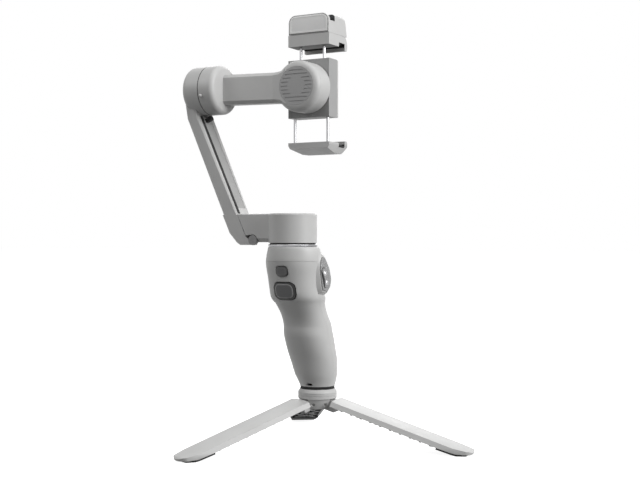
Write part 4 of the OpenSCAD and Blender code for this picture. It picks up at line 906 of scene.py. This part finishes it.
def makeStuds():
    look = rockerStuds
    lean = math.radians(look["lean"])
    x, y, z = look["centre"]
    origin = spot(x + look["base"], y, z)
    deselectAll()
    bpy.ops.mesh.primitive_circle_add(
        vertices=look["sides"], radius=look["radius"] * mm, location=origin, fill_type="NGON",
        rotation=(0, math.pi / 2, 0))
    lower = bpy.context.object
    settle(lower)
    choose(lower, "FACE", lambda c, n: True)
    quarter = math.pi / 2 / look["steps"]
    for step in range(look["steps"]):  # up the dome in rings
        start = quarter * step
        end = quarter * (step + look["lastStep"])
        shrink = max(math.cos(end), look["tip"]) / max(math.cos(start), look["tip"])
        extrudePicked((math.sin(end) - math.sin(start)) * look["high"], 0, 0)
        bpy.ops.transform.resize(value=(1, shrink, shrink), center_override=origin)
    doneShaping(lower, "rockerStudLower", "zoom_rocker", "chrome", look["smooth"])
    upper = copyPiece(lower, "rockerStudUpper")
    shift = Vector((0, -math.sin(lean), math.cos(lean))) * look["pitch"] * mm
    lower.location = -shift
    upper.location = shift
    settle(lower)
    settle(upper)
    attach(upper, "zoom_rocker")


makeStuds()
print("rocker studs made")

# crossed stiffening bars under each leg: one leg's set is modelled, then copied

legLattice = {
    "hub": (0, 38.4, 0), "pivot": (10.4, 0, 32.2), "slope": 16.6632, "turn": 6,
    "first": 12, "last": 92, "pitch": 16, "half": 8.6, "bar": 1.3, "low": -0.22, "high": 0.9,
    "edge": (0.25, 2),
}


def makeLegLattice():
    look = legLattice
    across = look["half"] * 2
    length = math.hypot(look["pitch"], across)
    size = (length * mm, look["bar"] * mm, (look["high"] - look["low"]) * mm)
    bars = []
    for step in range(int((look["last"] - look["first"]) / look["pitch"])):
        middle = look["first"] + look["pitch"] * (step + 0.5)
        for side in (-1, 1):
            deselectAll()
            bpy.ops.mesh.primitive_cube_add(
                size=1, location=(middle * mm, 0, (look["low"] + look["high"]) / 2 * mm),
                rotation=(0, 0, side * math.atan2(across, look["pitch"])), scale=size)
            bar = bpy.context.object
            settle(bar)
            choose(bar, "EDGE", lambda a, b: max(a.z, b.z) < 0 and abs(a.z - b.z) < sameLine)
            bevelPicked(*look["edge"])
            bpy.ops.object.mode_set(mode="OBJECT")
            bars.append(bar)
    deselectAll()
    for bar in bars:
        bar.select_set(True)
    bpy.context.view_layer.objects.active = bars[0]
    bpy.ops.object.join()
    pattern = bpy.context.object
    lean = Matrix.Rotation(math.radians(look["slope"]), 4, "Y")
    out = Matrix.Translation(Vector(look["pivot"]) * mm)
    for number, body in enumerate(("leg_one", "leg_two", "leg_three")):
        copy = copyPiece(pattern, "legLattice" + str(number + 1))
        turn = Matrix.Rotation(math.radians(look["turn"] + 120 * number), 4, "Z")
        copy.matrix_world = Matrix.Translation(spot(*look["hub"])) @ turn @ out @ lean
        settle(copy)
        smoothEdges(copy)
        setFinish(copy, "shell")
        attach(copy, body)
    bpy.data.objects.remove(pattern, do_unlink=True)


makeLegLattice()
print("leg bars made")

# soft strip over the cable in the arm's slot

armStrip = {
    "origin": (-45.2, 0, 182.1), "lean": 24.8, "low": 1.2, "high": 87.6, "front": -7.5,
    "back": -3.9, "sunk": 0.5, "proud": 0.12, "edge": (0.25, 3),
}


def makeArmStrip():
    look = armStrip
    spans = ((-look["sunk"], look["proud"]), (look["front"], look["back"]),
             (look["low"], look["high"]))
    deselectAll()
    bpy.ops.mesh.primitive_cube_add(
        size=1, location=(0, 0, 0), scale=tuple((end - start) * mm for start, end in spans))
    strip = bpy.context.object
    settle(strip)
    choose(strip, "EDGE", lambda a, b: min(a.x, b.x) > 0 and abs(a.y - b.y) < sameLine)
    bevelPicked(*look["edge"])
    bpy.ops.mesh.select_all(action="SELECT")
    middle = tuple((end + start) / 2 * mm for start, end in spans)
    bpy.ops.transform.translate(value=middle)
    bpy.ops.object.mode_set(mode="OBJECT")
    strip.rotation_euler = (0, -math.radians(look["lean"]), 0)
    strip.location = spot(*look["origin"])
    settle(strip)
    doneShaping(strip, "armSlotStrip", "folding_arm", "rubber")


makeArmStrip()
print("arm slot strip made")

# CAD nodes that are shown as they are

carried = {
    "socket_insert": "brass", "inner_frame": "inner", "battery": "cell", "battery_frame": "inner",
    "main_board": "board", "pan_stator": "copper", "pan_bearing": "steel",
    "charging_port": "steel", "indicator_lights": "lens", "joystick_cradle": "inner",
    "pan_magnets": "darkSteel", "hinge_pin": "hingeGrey", "tilt_stator": "copper",
    "tilt_shaft": "darkSteel", "roll_stator": "copper", "roll_shaft": "darkSteel",
    "pinion": "steel", "upper_rods": "rodSteel", "lower_rods": "rodSteel",
    "tripod_screw": "steel", "leg_pins": "shell",
}
for nodeName, finish in carried.items():
    setFinish(nodes[nodeName], finish)
    smoothEdges(nodes[nodeName])
deselectAll()
print("carried nodes finished,", len(carried))
